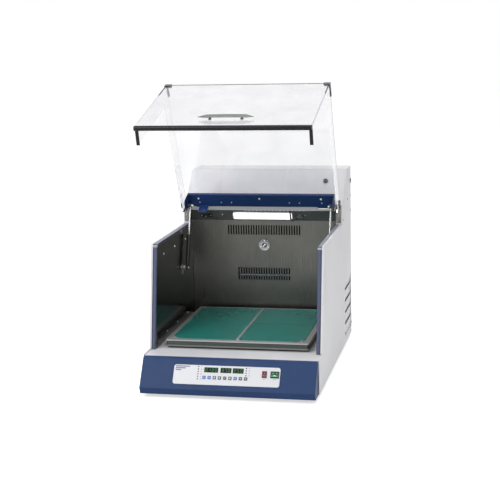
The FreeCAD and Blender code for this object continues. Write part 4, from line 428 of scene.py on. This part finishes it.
copies("hub_well", well, [hub_place], screw_black, "root")
vane_place = hub_place @ Matrix.Rotation(math.radians(48.0), 4, "Z")
vane_thick = 3.8
vane = bmesh.new()
for long, wide, away, rise in ((11.5, 1.9, 0.0, 3.0), (1.9, 5.0, 4.2, 3.2), (1.9, 4.4, -4.4, 2.8)):
    block(vane, vane_place @ Matrix.Translation((away * MM, 0, rise * MM)), (long, wide, vane_thick))
new_piece("hub_vane", vane, polished, "root")

# Air duct, fan and heater behind the slots: dark plain sheet, a pressed alloy wheel and a tubular
# element that has turned bluish from heat. The control board is green with paler traces.
duct_sheet = brushed_steel("duct_sheet", (0.008, 0.008, 0.009), 0.7, (0.1, 1.0, 1.0))
fan_alloy = brushed_steel("fan_alloy", (0.04, 0.04, 0.042), 0.45, (1.0, 1.0, 1.0))
heater_tube = brushed_steel("heater_tube", (0.16, 0.25, 0.36), 0.35, (0.05, 1.0, 1.0))
dress(duct_sheet, "air_duct")
dress(fan_alloy, "circulation_fan")
dress(heater_tube, "heater")
board, board_tree, board_shader = start_finish("board_lacquer", (0.02, 0.12, 0.05), 0.35)
traces = object_grain(board_tree, 160.0, stretch=(1.0, 0.2, 0.2), detail=2.0)
board_tree.links.new(tint(board_tree, traces, (0.012, 0.08, 0.03), (0.05, 0.22, 0.09), 0.46, 0.54),
                     board_shader.inputs["Base Color"])
dress(board, "control_board")


# Chamber lamp: frosted diffuser that is lit from inside, less bright at its left end. The plate,
# the cable's gland and the lid switch have two screws each.
def glow(name, colour, roughness, scale, dark, light):
    """A finish that shines in a colour between dark and light, and its shader."""
    material, tree, shader = start_finish(name, colour, roughness)
    tone = tint(tree, object_grain(tree, scale), dark, light)
    tree.links.new(tone, shader.inputs["Emission Color"])
    return material, shader


def joint(name):
    """The frame's record of a joint."""
    return next(record for record in frame["joints"] if record["name"] == name)


lamp_glow, lamp_shader = glow("lamp_glow", (0.93, 0.94, 0.95), 0.35, 12.0, (0.9, 0.93, 0.96),
                              (1.0, 1.0, 1.0))
lamp_tree = lamp_glow.node_tree
lamp_run = along_axis(lamp_tree, "ShaderNodeTexCoord", "Object", "X")
lamp_power = spread(lamp_tree, lamp_run, 0.55, 1.3, -0.104, -0.088)
lamp_tree.links.new(lamp_power, lamp_shader.inputs["Emission Strength"])
dress(lamp_glow, "lamp_window")
plunger_axis = Vector(joint("lid_plunger_press")["axis"])
plate_foot = Vector((0.0, 0.2165, 0.442))
plate_up = Vector((1, 0, 0)).cross(plunger_axis)
before_plate = 0.03


def on_lamp_plate(node, x, rise):
    """Where a screw sits on the leaning plate or on what is fixed to it."""
    start = plate_foot + Vector((x * MM, 0, 0)) + plate_up * rise * MM - plunger_axis * before_plate
    return seat(node, start, plunger_axis)


for name, node, radius, spots in (
        ("lamp_screws", "lamp_plate", 2.2, ((-142.0, 24.0), (143.0, 23.0))),
        ("gland_screws", "lamp_plate", 1.5, ((123.5, 21.0), (130.5, 21.0))),
        ("switch_screws", "lid_switch", 1.9, ((-214.0, 21.0), (-182.0, 21.0)))):
    screws(name, "root", radius, [on_lamp_plate(node, x, rise) for x, rise in spots])


# Small black fittings: lid switch, rocker bezels, limiter knob and mains inlet, in moulded nylon.
# The switch's plunger and the hinge brackets are ground steel.
def moulding(name, colour, roughness):
    """Moulded plastic or printed ink, with faint flow marks and a fine skin."""
    material, tree, shader = start_finish(name, colour, roughness)
    flow = object_grain(tree, 90.0, detail=4.0)
    vary_tone(tree, shader, flow, colour, 0.9, 1.1)
    vary_gloss(tree, shader, flow, roughness, 0.04, 0.06)
    raise_grain(tree, shader, object_grain(tree, 2600.0, detail=1.0), 0.00003, 0.4)
    return material


black_nylon = moulding("black_nylon", (0.018, 0.018, 0.02), 0.35)
dress(black_nylon, "lid_switch", "rocker_bezels", "limiter_knob", "mains_inlet")
plunger_steel = turned_metal("plunger_steel", (0.6, 0.6, 0.6), 0.25)
dress(plunger_steel, "lid_plunger", "hinge_brackets")


# Lamp lead: sheathed cable that drops from the header past the lamp and turns up into its gland.
def round_wire(points, radius):
    """A round wire in millimetres along a smooth curve through the points."""
    sides = 14
    pieces = 8
    spots = [Vector(point) for point in points]
    guides = [2 * spots[0] - spots[1], *spots, 2 * spots[-1] - spots[-2]]
    path = []
    for before, start, stop, after in zip(guides, guides[1:], guides[2:], guides[3:]):
        for index in range(pieces):
            u = index / pieces
            path.append(0.5 * (2 * start + (stop - before) * u
                               + (2 * before - 5 * start + 4 * stop - after) * u ** 2
                               + (3 * start - before - 3 * stop + after) * u ** 3))
    path.append(spots[-1])
    last = len(path) - 1
    shape = bmesh.new()
    rings = []
    for index, spot in enumerate(path):
        run = path[min(index + 1, last)] - path[max(index - 1, 0)]
        place = Matrix.Translation(spot * MM) @ run.to_track_quat("Z", "Y").to_matrix().to_4x4()
        made = bmesh.ops.create_circle(shape, cap_ends=index in (0, last), segments=sides,
                                       radius=radius * MM, matrix=place)
        rings.append(made["verts"])
    for ring, after in zip(rings, rings[1:]):
        for index in range(sides):
            shape.faces.new((ring[index], ring[index - 1], after[index - 1], after[index]))
    return shape


lead_route = [(93.4, 190.6, 479.4), (94.4, 190.4, 470.0), (95.4, 189.9, 460.0), (97.0, 190.0, 450.5),
              (101.5, 192.4, 445.6), (107.5, 196.4, 447.6), (112.3, 199.9, 453.0),
              (115.7, 201.4, 456.6)]
lead = new_piece("lamp_lead", round_wire(lead_route, 2.7), black_nylon, "root")
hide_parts("lamp_cable")

# Fascia: moulded and painted front in deep blue, its chin turned under.
fascia_paint = sheet_paint("fascia_paint", (0.015, 0.043, 0.130), 0.5, sheen=0.22)
dress(fascia_paint, "fascia")

# Control panel: pale film with plain printed bands and strokes, two columns of small square lamps,
# and cut-outs for the keys, the tinted display windows and the two rocker switches.
panel_film = sheet_paint("panel_film", (0.66, 0.67, 0.70), 0.35, peel=0.4)
dress(panel_film, "overlay_plate")
key_in = Vector(joint("key_5_press")["axis"])
key_low, key_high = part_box("key_5")
key_row = 39.5
middle_key = -7.2
key_depth = 1.05
across = Vector((1, 0, 0))
panel_turn = Matrix((across, across.cross(key_in), -key_in)).transposed().to_4x4()
panel = (Matrix.Translation((key_low + key_high) / 2) @ panel_turn
         @ Matrix.Translation(Vector((-middle_key, -key_row, -key_depth)) * MM))
film_top = 1.9
window_top = 2.7
key_top = 3.3
ink = 0.05
power_x = 111.8
motion_x = 143.0


def on_panel(x, up, out, roll=0.0):
    """A frame on the panel: X to the right, Y up its slope and Z out of it, in millimetres."""
    return (panel @ Matrix.Translation(Vector((x, up, out)) * MM)
            @ Matrix.Rotation(math.radians(roll), 4, "Z"))


def prism(shape, place, sides, radius, rise):
    """A flat printed shape with this many sides."""
    bmesh.ops.create_cone(shape, cap_ends=True, segments=sides, radius1=radius * MM,
                          radius2=radius * MM, depth=rise * MM, matrix=place)


lamp_columns = [(-90.5, 34.6, 7.66, 6), (56.0, 49.5, 7.6, 4)]
text_gap = 7.0
switch_text_row = 40.2
print_grey = moulding("print_grey", (0.16, 0.17, 0.20), 0.5)
marks = bmesh.new()
for x, low, pitch, count in lamp_columns:
    for index in range(count):
        length = 5.5 - 1.3 * (index % 2)
        for line in (-0.7, 0.7):
            spot = on_panel(x + text_gap + (length + line) / 2, low + pitch * index + line, film_top)
            block(marks, spot, (length - 1.2 * (line > 0), 0.8, ink))
for x, width in ((power_x, 5.0), (motion_x, 10.0)):
    for line, shorter in ((0.0, 0.0), (1.6, 2.5)):
        spot = on_panel(x, switch_text_row + line, film_top)
        block(marks, spot, (width - shorter, 0.6, ink))
new_piece("panel_marks", marks, print_grey, "root")
band_blue = moulding("band_blue", (0.035, 0.11, 0.36), 0.4)
band_left = -161.5
band_pitch = 5.6
for name, finish, top, height in (("panel_bands", band_blue, 73.2, 2.6),
                                  ("panel_lines", print_grey, 70.9, 0.8)):
    lines = bmesh.new()
    for index, length in enumerate((44.0, 31.0, 18.0)):
        place = on_panel(band_left + length / 2, top - band_pitch * index, film_top)
        block(lines, place, (length, height, ink))
    new_piece(name, lines, finish, "root")

lamp_lens = moulding("lamp_lens", (0.008, 0.012, 0.045), 0.15)
lens_side = 3.6
lens_rise = 0.5
lenses = bmesh.new()
for x, low, pitch, count in lamp_columns:
    for index in range(count):
        spot = on_panel(x, low + pitch * index, film_top)
        block(lenses, spot, (lens_side, lens_side, lens_rise), 0.2)
new_piece("status_lamps", lenses, lamp_lens, "root")

# Display windows: dark green filters with seven-segment figures that glow faintly. A stroke is told
# by how far it lies to the right and up, in half figures, and by whether it is level.
window_tint = moulding("window_tint", (0.003, 0.016, 0.006), 0.45)
shader_of(window_tint).inputs["Specular IOR Level"].default_value = 0.1
dress(window_tint, "display_windows")
STROKES = {"a": (0, 1, True), "g": (0, 0, True), "d": (0, -1, True), "f": (-1, 0.5, False),
           "b": (1, 0.5, False), "e": (-1, -0.5, False), "c": (1, -0.5, False)}
FIGURES = {"0": "abcdef", "1": "bc", "2": "abged", "3": "abgcd", "5": "afgcd", "7": "abc"}
figure_half = (2.3, 4.6)
figure_row = 63.3
window_margin = 2.0
stroke_width = 0.95
digits = bmesh.new()
for left, right, shown in ((-72.6, -29.7, "0120"), (-22.7, 10.9, "370"), (14.8, 48.2, "250")):
    step = (right - left - 2 * window_margin) / len(shown)
    for index, figure in enumerate(shown):
        x = left + window_margin + step * (index + 0.5)
        for stroke in FIGURES[figure]:
            away, rise, level = STROKES[stroke]
            place = on_panel(x + away * figure_half[0], figure_row + rise * figure_half[1], window_top)
            block(digits, place, (3.6, stroke_width, ink) if level else (stroke_width, 3.7, ink))
segment_glow, segment_shader = glow("segment_glow", (0.02, 0.12, 0.04), 0.4, 300.0,
                                    (0.03, 0.22, 0.06), (0.06, 0.34, 0.10))
segment_shader.inputs["Emission Strength"].default_value = 0.45
new_piece("display_digits", digits, segment_glow, "root")

# Keys: moulded caps, three blue and six dark, each printed with a plain pale sign.
key_blue = moulding("key_blue", (0.045, 0.14, 0.42), 0.4)
key_dark = moulding("key_dark", (0.045, 0.05, 0.065), 0.4)
key_ink = moulding("key_ink", (0.62, 0.64, 0.68), 0.45)
key_pitch = 15.9
for number in range(1, 10):
    key = f"key_{number}"
    blue = number in (1, 2, 7)
    dress(key_blue if blue else key_dark, key)
    x = middle_key + key_pitch * (number - 5)
    place = on_panel(x, key_row, key_top)
    sign = bmesh.new()
    if number in (1, 2):
        prism(sign, on_panel(x, key_row, key_top, 90.0 if number == 1 else -90.0), 3, 2.4, ink)
    elif number == 3:
        prism(sign, on_panel(x, key_row + 1.2, key_top, 90.0), 3, 2.6, ink)
        block(sign, on_panel(x, key_row - 1.6, key_top), (3.4, 2.0, ink))
    elif number == 4:
        block(sign, place, (4.4, 3.4, ink))
    elif number == 6:
        prism(sign, place, 20, 2.3, ink)
    elif number == 7:
        for away in (-1.3, 1.3):
            block(sign, on_panel(x + away, key_row, key_top), (1.1, 4.6, ink))
    else:
        block(sign, place, (4.8, 1.1, ink))
    if number in (8, 9):
        block(sign, place, (1.1, 4.8, ink))
    new_piece(f"key_sign_{number}", sign, key_ink, key)

# Rockers: glossy red and green caps in black bezels, with the usual bar and ring, and a green lamp
# that shines through the lower half of the wide one.
rocker_red = moulding("rocker_red", (0.19, 0.001, 0.006), 0.3)
rocker_green = moulding("rocker_green", (0.006, 0.085, 0.03), 0.3)
dress(rocker_red, "power_rocker")
dress(rocker_green, "motion_rocker")
lit_green, lit_shader = glow("lit_green", (0.3, 0.8, 0.45), 0.3, 220.0, (0.16, 0.72, 0.3),
                             (0.5, 1.0, 0.62))
lit_shader.inputs["Emission Strength"].default_value = 0.8
above_panel = 20.0
bar_row = 60.0
ring_row = 50.6
glow_row = 51.5


def rocker_spot(node, x, up):
    """A frame that lies on the dished face of a rocker, its Y up the slope."""
    return seat(node, on_panel(x, up, above_panel).to_translation(), key_in)


def printed_ring(shape, place, radius, growth):
    """A flat ring from this radius in millimetres to growth times as much."""
    ring = bmesh.ops.create_circle(shape, segments=20, radius=radius * MM, matrix=place)["verts"]
    rim = list({edge for vert in ring for edge in vert.link_edges})
    drawn = bmesh.ops.extrude_edge_only(shape, edges=rim)["geom"]
    grown = [item for item in drawn if isinstance(item, bmesh.types.BMVert)]
    middle = sum((vert.co for vert in grown), Vector()) / len(grown)
    bmesh.ops.scale(shape, vec=(growth, growth, growth), space=Matrix.Translation(-middle), verts=grown)
    band = [face for face in shape.faces if all(vert in ring or vert in grown for vert in face.verts)]
    bmesh.ops.solidify(shape, geom=band, thickness=ink * MM)


for node, centre, sides, ink_finish, slot in (
        ("power_rocker", power_x, (0.0,), key_ink, "rocker_red"),
        ("motion_rocker", motion_x, (-5.4, 5.4), lit_green, "rocker_green")):
    sign = bmesh.new()
    for away in sides:
        block(sign, rocker_spot(node, centre + away, bar_row), (0.9, 4.2, ink))
        printed_ring(sign, rocker_spot(node, centre + away, ring_row), 1.9, 1.45)
    if node == "motion_rocker":
        block(sign, rocker_spot(node, centre, glow_row), (6.0, 4.6, ink))
    new_piece(f"{node}_sign", sign, ink_finish, node)

# Limiter scale: eleven printed strokes round the knob on the sloping housing face, and below it a
# triangle over a row of short strokes.
limiter = joint("limiter_turn")
knob_out = Vector(limiter["axis"])
knob_spot = Vector(limiter["pos_m"])
before_face = knob_out * 0.02
stroke_radius = 0.0108
first_turn = 135.0
stroke_turn = 27.0
long_stroke = 2.4
short_stroke = 1.5
scale_ink = moulding("scale_ink", (0.10, 0.105, 0.12), 0.5)
scale_marks = bmesh.new()
for index in range(11):
    turn = Matrix.Rotation(math.radians(first_turn - stroke_turn * index), 4, knob_out)
    radial = turn @ knob_out.cross(Vector((-1, 0, 0)))
    place = seat("housing_face", knob_spot + radial * stroke_radius + before_face, -knob_out)
    stroke_place = (Matrix.Translation(place.to_translation())
                    @ Matrix((radial.cross(knob_out), radial, knob_out)).transposed().to_4x4())
    length = long_stroke if index % 5 == 0 else short_stroke
    block(scale_marks, stroke_place, (0.5, length, ink))
knob_down = knob_out.cross(Vector((1, 0, 0)))
knob_down = knob_down if knob_down.z < 0 else -knob_down
triangle_drop = 0.0240
text_drop = 0.0300
text_pitch = 0.0052
for step in range(7):
    spot = knob_spot + knob_down * text_drop + Vector(((step - 3) * text_pitch, 0, 0))
    place = seat("housing_face", spot + before_face, -knob_out)
    block(scale_marks, place, (3.6 - 0.6 * (step % 3), 0.8, ink))
place = seat("housing_face", knob_spot + knob_down * triangle_drop + before_face, -knob_out)
prism(scale_marks, place, 3, 1.6, ink)
new_piece("knob_scale", scale_marks, scale_ink, "root")

# Platform: black carrier, satin stainless tray coloured in bands up its rim, with painted shade in the
# groove and a painted greenish reflection between lighter edges, and four green grip mats with a clamping
# bar.
carrier_black = sheet_paint("carrier_black", (0.02, 0.02, 0.022), 0.5)
tray_steel = brushed_steel("tray_steel", (0.34, 0.34, 0.345), 0.36, (0.02, 1.0, 1.0), metallic=0.5)
tray_tree = tray_steel.node_tree
tray_low, tray_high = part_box("platform_tray")
tray_rise = along_axis(tray_tree, "ShaderNodeTexCoord", "Object", "Z")
levels = spread(tray_tree, tray_rise, 0.0, 1.0, tray_low.z, tray_high.z)
# Painted shade and reflection: bands by height give a lighter top edge, a dark groove of painted shade, a
# greenish band of painted reflection from the mats, and a lighter lower lip.
rim_painted_shade_and_reflection = tray_tree.nodes.new("ShaderNodeValToRGB")
rim_painted_shade_and_reflection.color_ramp.interpolation = "CONSTANT"
rim_painted_shade_and_reflection.color_ramp.elements[0].color = (0.22, 0.22, 0.22, 1.0)
rim_painted_shade_and_reflection.color_ramp.elements[1].position = 0.20
rim_painted_shade_and_reflection.color_ramp.elements[1].color = (0.060, 0.078, 0.066, 1.0)
for position, colour in ((0.70, (0.02, 0.022, 0.021, 1.0)), (0.80, (0.42, 0.42, 0.425, 1.0))):
    rim_painted_shade_and_reflection.color_ramp.elements.new(position).color = colour
tray_tree.links.new(levels, rim_painted_shade_and_reflection.inputs["Fac"])
tray_tree.links.new(rim_painted_shade_and_reflection.outputs["Color"], shader_of(tray_steel).inputs["Base Color"])
grip_mat, mat_tree, mat_shader = start_finish("grip_mat", (0.011, 0.19, 0.158), 0.2)
mat_tone = tint(mat_tree, object_grain(mat_tree, 7.0, detail=3.0), (0.010, 0.178, 0.148),
                (0.014, 0.208, 0.172))
mat_tree.links.new(mat_tone, mat_shader.inputs["Base Color"])
mat_gloss = spread(mat_tree, object_grain(mat_tree, 40.0, detail=3.0), 0.21, 0.26)
mat_tree.links.new(mat_gloss, mat_shader.inputs["Roughness"])
raise_grain(mat_tree, mat_shader, object_grain(mat_tree, 1500.0, detail=1.0), 0.00001, 0.15)
dress(carrier_black, "platform_carrier")
dress(tray_steel, "platform_tray", "platform_fixings")
dress(grip_mat, "platform_mats")

# Hood: one clear acrylic shell, faintly marked by wiping, with corner clips and a rubber bar.
acrylic, acrylic_tree, acrylic_shader = start_finish("clear_acrylic", (0.99, 0.99, 0.99), 0.02)
acrylic_shader.inputs["IOR"].default_value = 1.49
acrylic_shader.inputs["Transmission Weight"].default_value = 1.0
wiped = object_grain(acrylic_tree, 9.0, detail=6.0, rough=0.6)
acrylic_tree.links.new(spread(acrylic_tree, wiped, 0.01, 0.05), acrylic_shader.inputs["Roughness"])
acrylic_tree.links.new(tint(acrylic_tree, wiped, (0.86, 0.86, 0.88), (0.97, 0.97, 0.98)),
                       acrylic_shader.inputs["Base Color"])
dress(acrylic, "hood_shell")
cap_nylon = moulding("cap_nylon", (0.055, 0.055, 0.07), 0.4)
dress(cap_nylon, "hood_caps")
bar_rubber = rubber("bar_rubber", (0.006, 0.005, 0.007), 0.28)
shader_of(bar_rubber).inputs["Specular IOR Level"].default_value = 0.22
dress(bar_rubber, "hood_seals")

# Hood handle: a solid satin bow, forged thin to a point at both ends, on two short turned posts.
# The bow is a ball drawn out to a bar, tapered over its tips and bent down towards them.
handle_steel = brushed_steel("handle_steel", (0.17, 0.18, 0.17), 0.24, (0.05, 1.0, 1.0))
dress(handle_steel, "hood_handle")
handle_low, handle_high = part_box("hood_handle")
handle_middle = (handle_low + handle_high) / 2
above_hood = Vector((0, 0, 0.05))
handle_seat = seat("hood_shell", handle_middle + above_hood, (0, 0, -1))
bow_half = Vector((handle_high.x, 10.5 * MM, 3.3 * MM))
bow_rise = 9.5 * MM
tip_share = 0.30
bow = bmesh.new()
bmesh.ops.create_uvsphere(bow, u_segments=40, v_segments=36, radius=1.0,
                          matrix=Matrix.Rotation(math.pi / 2, 4, "Y"))
for vert in bow.verts:
    away = abs(vert.co.x)
    ball_radius = max(math.sqrt(1 - min(away, 0.999) ** 2), 0.05)
    swell = min(1.0, (1.0 - away) / tip_share) ** 0.75 / ball_radius
    vert.co.y *= swell
    vert.co.z = vert.co.z * swell - 0.9 * away ** 3 + 0.4 * vert.co.y ** 2
bmesh.ops.scale(bow, vec=bow_half, verts=bow.verts[:])
bmesh.ops.translate(bow, vec=(0, 0, bow_rise), verts=bow.verts[:])
post = turned([(0.0, 0.0), (5.4, 0.0), (5.4, 0.8), (4.4, 1.5), (3.4, 2.6), (3.2, 9.0), (0.0, 9.0)])
post_x = 48.0 * MM
add_copies(bow, post, [Matrix.Translation((side * post_x, 0, 0)) for side in (-1, 1)])
bmesh.ops.transform(bow, matrix=handle_seat, verts=bow.verts[:])
handle = new_piece("bow_handle", bow, handle_steel, "hood")
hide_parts("hood_handle")

# Hinge bar: a folded bar in blue paint with three screws and six rivets along its underside.
bar_paint = sheet_paint("bar_paint", (0.008, 0.031, 0.128), 0.42, sheen=0.35)
dress(bar_paint, "hinge_bar")
hood_hinge = joint("hood_hinge")
pivot = Vector(hood_hinge["pos_m"])
opened = Matrix.Rotation(-math.radians(hood_hinge["range_deg"][1]), 4, "X")
below_bar = -40.0
screw_row = -37.6
rivet_row = -22.0


def on_bar(x, back):
    """Where a screw sits on the underside of the hinge bar, this far behind the hinge when shut."""
    start = pivot + opened @ (Vector((x, back, below_bar)) * MM)
    return seat("hinge_bar", start, opened @ Vector((0, 0, 1)))


screws("bar_screws", "hood", 3.4, [on_bar(x, screw_row) for x in (-212.0, -3.0, 204.0)])
rivet_spots = (-209.0, -135.0, -100.0, 97.0, 131.0, 206.0)
screws("bar_rivets", "hood", 2.0, [on_bar(x, rivet_row) for x in rivet_spots])


# Bar ends and switch flap: blue end plates that reach round the strut heads, and the folded flap
# that the hood brings down in front of the lid switch.
def profile(shape, points, left, right):
    """A sheet with this outline across the machine, in millimetres, from left to right."""
    verts = [shape.verts.new((left * MM, y * MM, z * MM)) for y, z in points]
    made = bmesh.ops.extrude_face_region(shape, geom=[shape.faces.new(verts)])["geom"]
    grown = [item for item in made if isinstance(item, bmesh.types.BMVert)]
    bmesh.ops.translate(shape, vec=((right - left) * MM, 0, 0), verts=grown)


end_outline = [(159.8, 541.0), (140.0, 534.0), (113.0, 522.0), (108.0, 516.0), (110.0, 509.0),
               (129.0, 486.5), (134.0, 484.0), (140.0, 485.5), (156.0, 500.0)]
bar_ends = bmesh.new()
for side in (-1, 1):
    profile(bar_ends, end_outline, side * 248.1, side * 249.5)
new_piece("bar_ends", bar_ends, bar_paint, "hood")
shut_flap = [(-10.1, -7.0), (-10.1, -26.5), (-5.6, -50.0), (-7.2, -50.3), (-11.9, -27.0), (-11.9, -7.0)]
open_flap = [(pivot + opened @ (Vector((0, y, z)) * MM)) / MM for y, z in shut_flap]
flap = bmesh.new()
profile(flap, [(spot.y, spot.z) for spot in open_flap], -210.5, -179.5)
sheet_edge = 2.2 * MM
foremost = min(vert.co.y for vert in flap.verts) + 1.9 * MM
tip_corners = [edge for edge in flap.edges if edge.calc_length() < sheet_edge
               and min(vert.co.y for vert in edge.verts) < foremost]
round_off(flap, tip_corners, 4.0, 3)
new_piece("switch_flap", flap, bar_paint, "hood")

# Gas struts: gloss black cylinders and chromed rods. Each rod's head is a black socket on a plated
# stud, each foot has a pin and a nut on the wall, and the right rod carries a yellow clip.
strut_paint = sheet_paint("strut_paint", (0.012, 0.012, 0.014), 0.2)
strut_chrome = turned_metal("strut_chrome", (0.42, 0.42, 0.43), 0.18)
dress(strut_paint, "strut_tube_left", "strut_tube_right")
dress(strut_chrome, "strut_rod_left", "strut_rod_right")
clip_yellow = moulding("clip_yellow", (0.62, 0.50, 0.012), 0.35)
rod_low, rod_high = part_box("strut_rod_right")
rod_head = Vector(((rod_low.x + rod_high.x) / 2, 0.1475, 0.501))
slide = Vector(joint("strut_slide_right")["axis"])
along = slide if slide.z > 0 else -slide
clip = turned([(3.1, -2.5), (5.0, -2.5), (5.4, -2.0), (5.4, 2.0), (5.0, 2.5), (3.1, 2.5), (3.1, -2.5)], 28)
clip_place = facing(rod_head - along * 0.0105, along)
copies("strut_clip", clip, [clip_place], clip_yellow, "strut_rod_right")
foot_spot = Vector(joint("strut_swing_right")["pos_m"])
strut_x = 0.238
wall_x = 0.248
foot_reach = 0.0041
for name, side in (("left", -1), ("right", 1)):
    rod = f"strut_rod_{name}"
    inward = Vector((-side, 0, 0))
    head = facing(Vector((side * strut_x, rod_head.y, rod_head.z)), inward)
    foot = Vector((side * strut_x, foot_spot.y, foot_spot.z))
    socket = turned([(0.0, -4.2), (6.0, -4.2), (6.9, -3.2), (6.9, 3.2), (6.0, 4.2), (0.0, 4.2)], 28)
    copies(f"strut_socket_{name}", socket, [head], black_nylon, rod)
    stud = turned([(0.0, 4.0), (3.9, 4.0), (3.9, 6.4), (2.6, 6.6), (2.6, 9.6), (2.0, 10.4), (0.0, 10.4)])
    copies(f"strut_stud_{name}", stud, [head], screw_plating, rod)
    pin_place = facing(foot + inward * foot_reach, inward)
    screws(f"strut_pin_{name}", f"strut_tube_{name}", 3.6, [pin_place])
    nut = turned([(0.0, 0.0), (7.2, 0.0), (7.2, 3.9), (0.0, 3.9)], 6)
    nut_place = facing(Vector((side * wall_x, foot.y, foot.z)), inward)
    copies(f"strut_nut_{name}", nut, [nut_place], screw_plating, "root")


# Studio: pale floor that keeps the object's shadow, a white surround and soft lamps.
def seen_directly(tree):
    """One for rays from the camera, a mirror or glass, and zero for all other light."""
    path = tree.nodes.new("ShaderNodeLightPath")
    value = path.outputs["Is Camera Ray"]
    for kind in ("Is Glossy Ray", "Is Transmission Ray"):
        either = tree.nodes.new("ShaderNodeMath")
        either.operation = "MAXIMUM"
        tree.links.new(value, either.inputs[0])
        tree.links.new(path.outputs[kind], either.inputs[1])
        value = either.outputs["Value"]
    return value


floor_shape = bmesh.new()
bmesh.ops.create_grid(floor_shape, x_segments=1, y_segments=1, size=14.0)
floor_mesh = bpy.data.meshes.new("floor")
floor_shape.to_mesh(floor_mesh)
floor_shape.free()
floor = bpy.data.objects.new("floor", floor_mesh)
bpy.context.scene.collection.objects.link(floor)
floor_finish, floor_tree, floor_shader = start_finish("floor_paper", (0.8, 0.8, 0.8), 0.9)
floor_glow = 0.6
lift = floor_tree.nodes.new("ShaderNodeMath")
lift.operation = "MULTIPLY"
lift.inputs[1].default_value = floor_glow
floor_tree.links.new(seen_directly(floor_tree), lift.inputs[0])
floor_shader.inputs["Emission Color"].default_value = (1.0, 1.0, 1.0, 1.0)
floor_tree.links.new(lift.outputs["Value"], floor_shader.inputs["Emission Strength"])
floor_mesh.materials.append(floor_finish)

world = bpy.data.worlds.new("studio")
bpy.context.scene.world = world
world.use_nodes = True
sky = world.node_tree
background = sky.nodes["Background"]
hidden_light = 0.47
seen_light = 1.0
surround = spread(sky, seen_directly(sky), hidden_light, seen_light, 0.0, 1.0)
sky.links.new(surround, background.inputs["Strength"])
background.inputs["Color"].default_value = (1.0, 1.0, 1.0, 1.0)


def soft_lamp(name, spot, target, size, power):
    """A soft rectangular lamp that looks at the target."""
    lamp = bpy.data.lights.new(name, "AREA")
    lamp.shape = "RECTANGLE"
    lamp.size, lamp.size_y = size
    lamp.energy = power
    made = bpy.data.objects.new(name, lamp)
    made.location = spot
    made.rotation_euler = (Vector(target) - Vector(spot)).to_track_quat("-Z", "Y").to_euler()
    bpy.context.scene.collection.objects.link(made)


soft_lamp("key_lamp", (-1.6, -2.6, 2.6), (0, 0, 0.4), (1.8, 1.4), 70)
soft_lamp("top_lamp", (0.4, 0.2, 3.0), (0, 0, 0.3), (2.2, 2.2), 36)

# Camera: the photograph's angle, from the right of the middle and a little above.
camera = bpy.data.cameras.new("camera")
camera.sensor_width = 36.0
camera.lens = 89.38
camera.shift_x = 0.018
camera.shift_y = 0.0087
viewer = bpy.data.objects.new("camera", camera)
viewer.location = (0.8129, -3.8614, 1.1177)
viewer.rotation_euler = (math.radians(79.2185), math.radians(1.3629), math.radians(12.1334))
bpy.context.scene.collection.objects.link(viewer)
bpy.context.scene.camera = viewer
bpy.context.scene.view_settings.view_transform = "Standard"
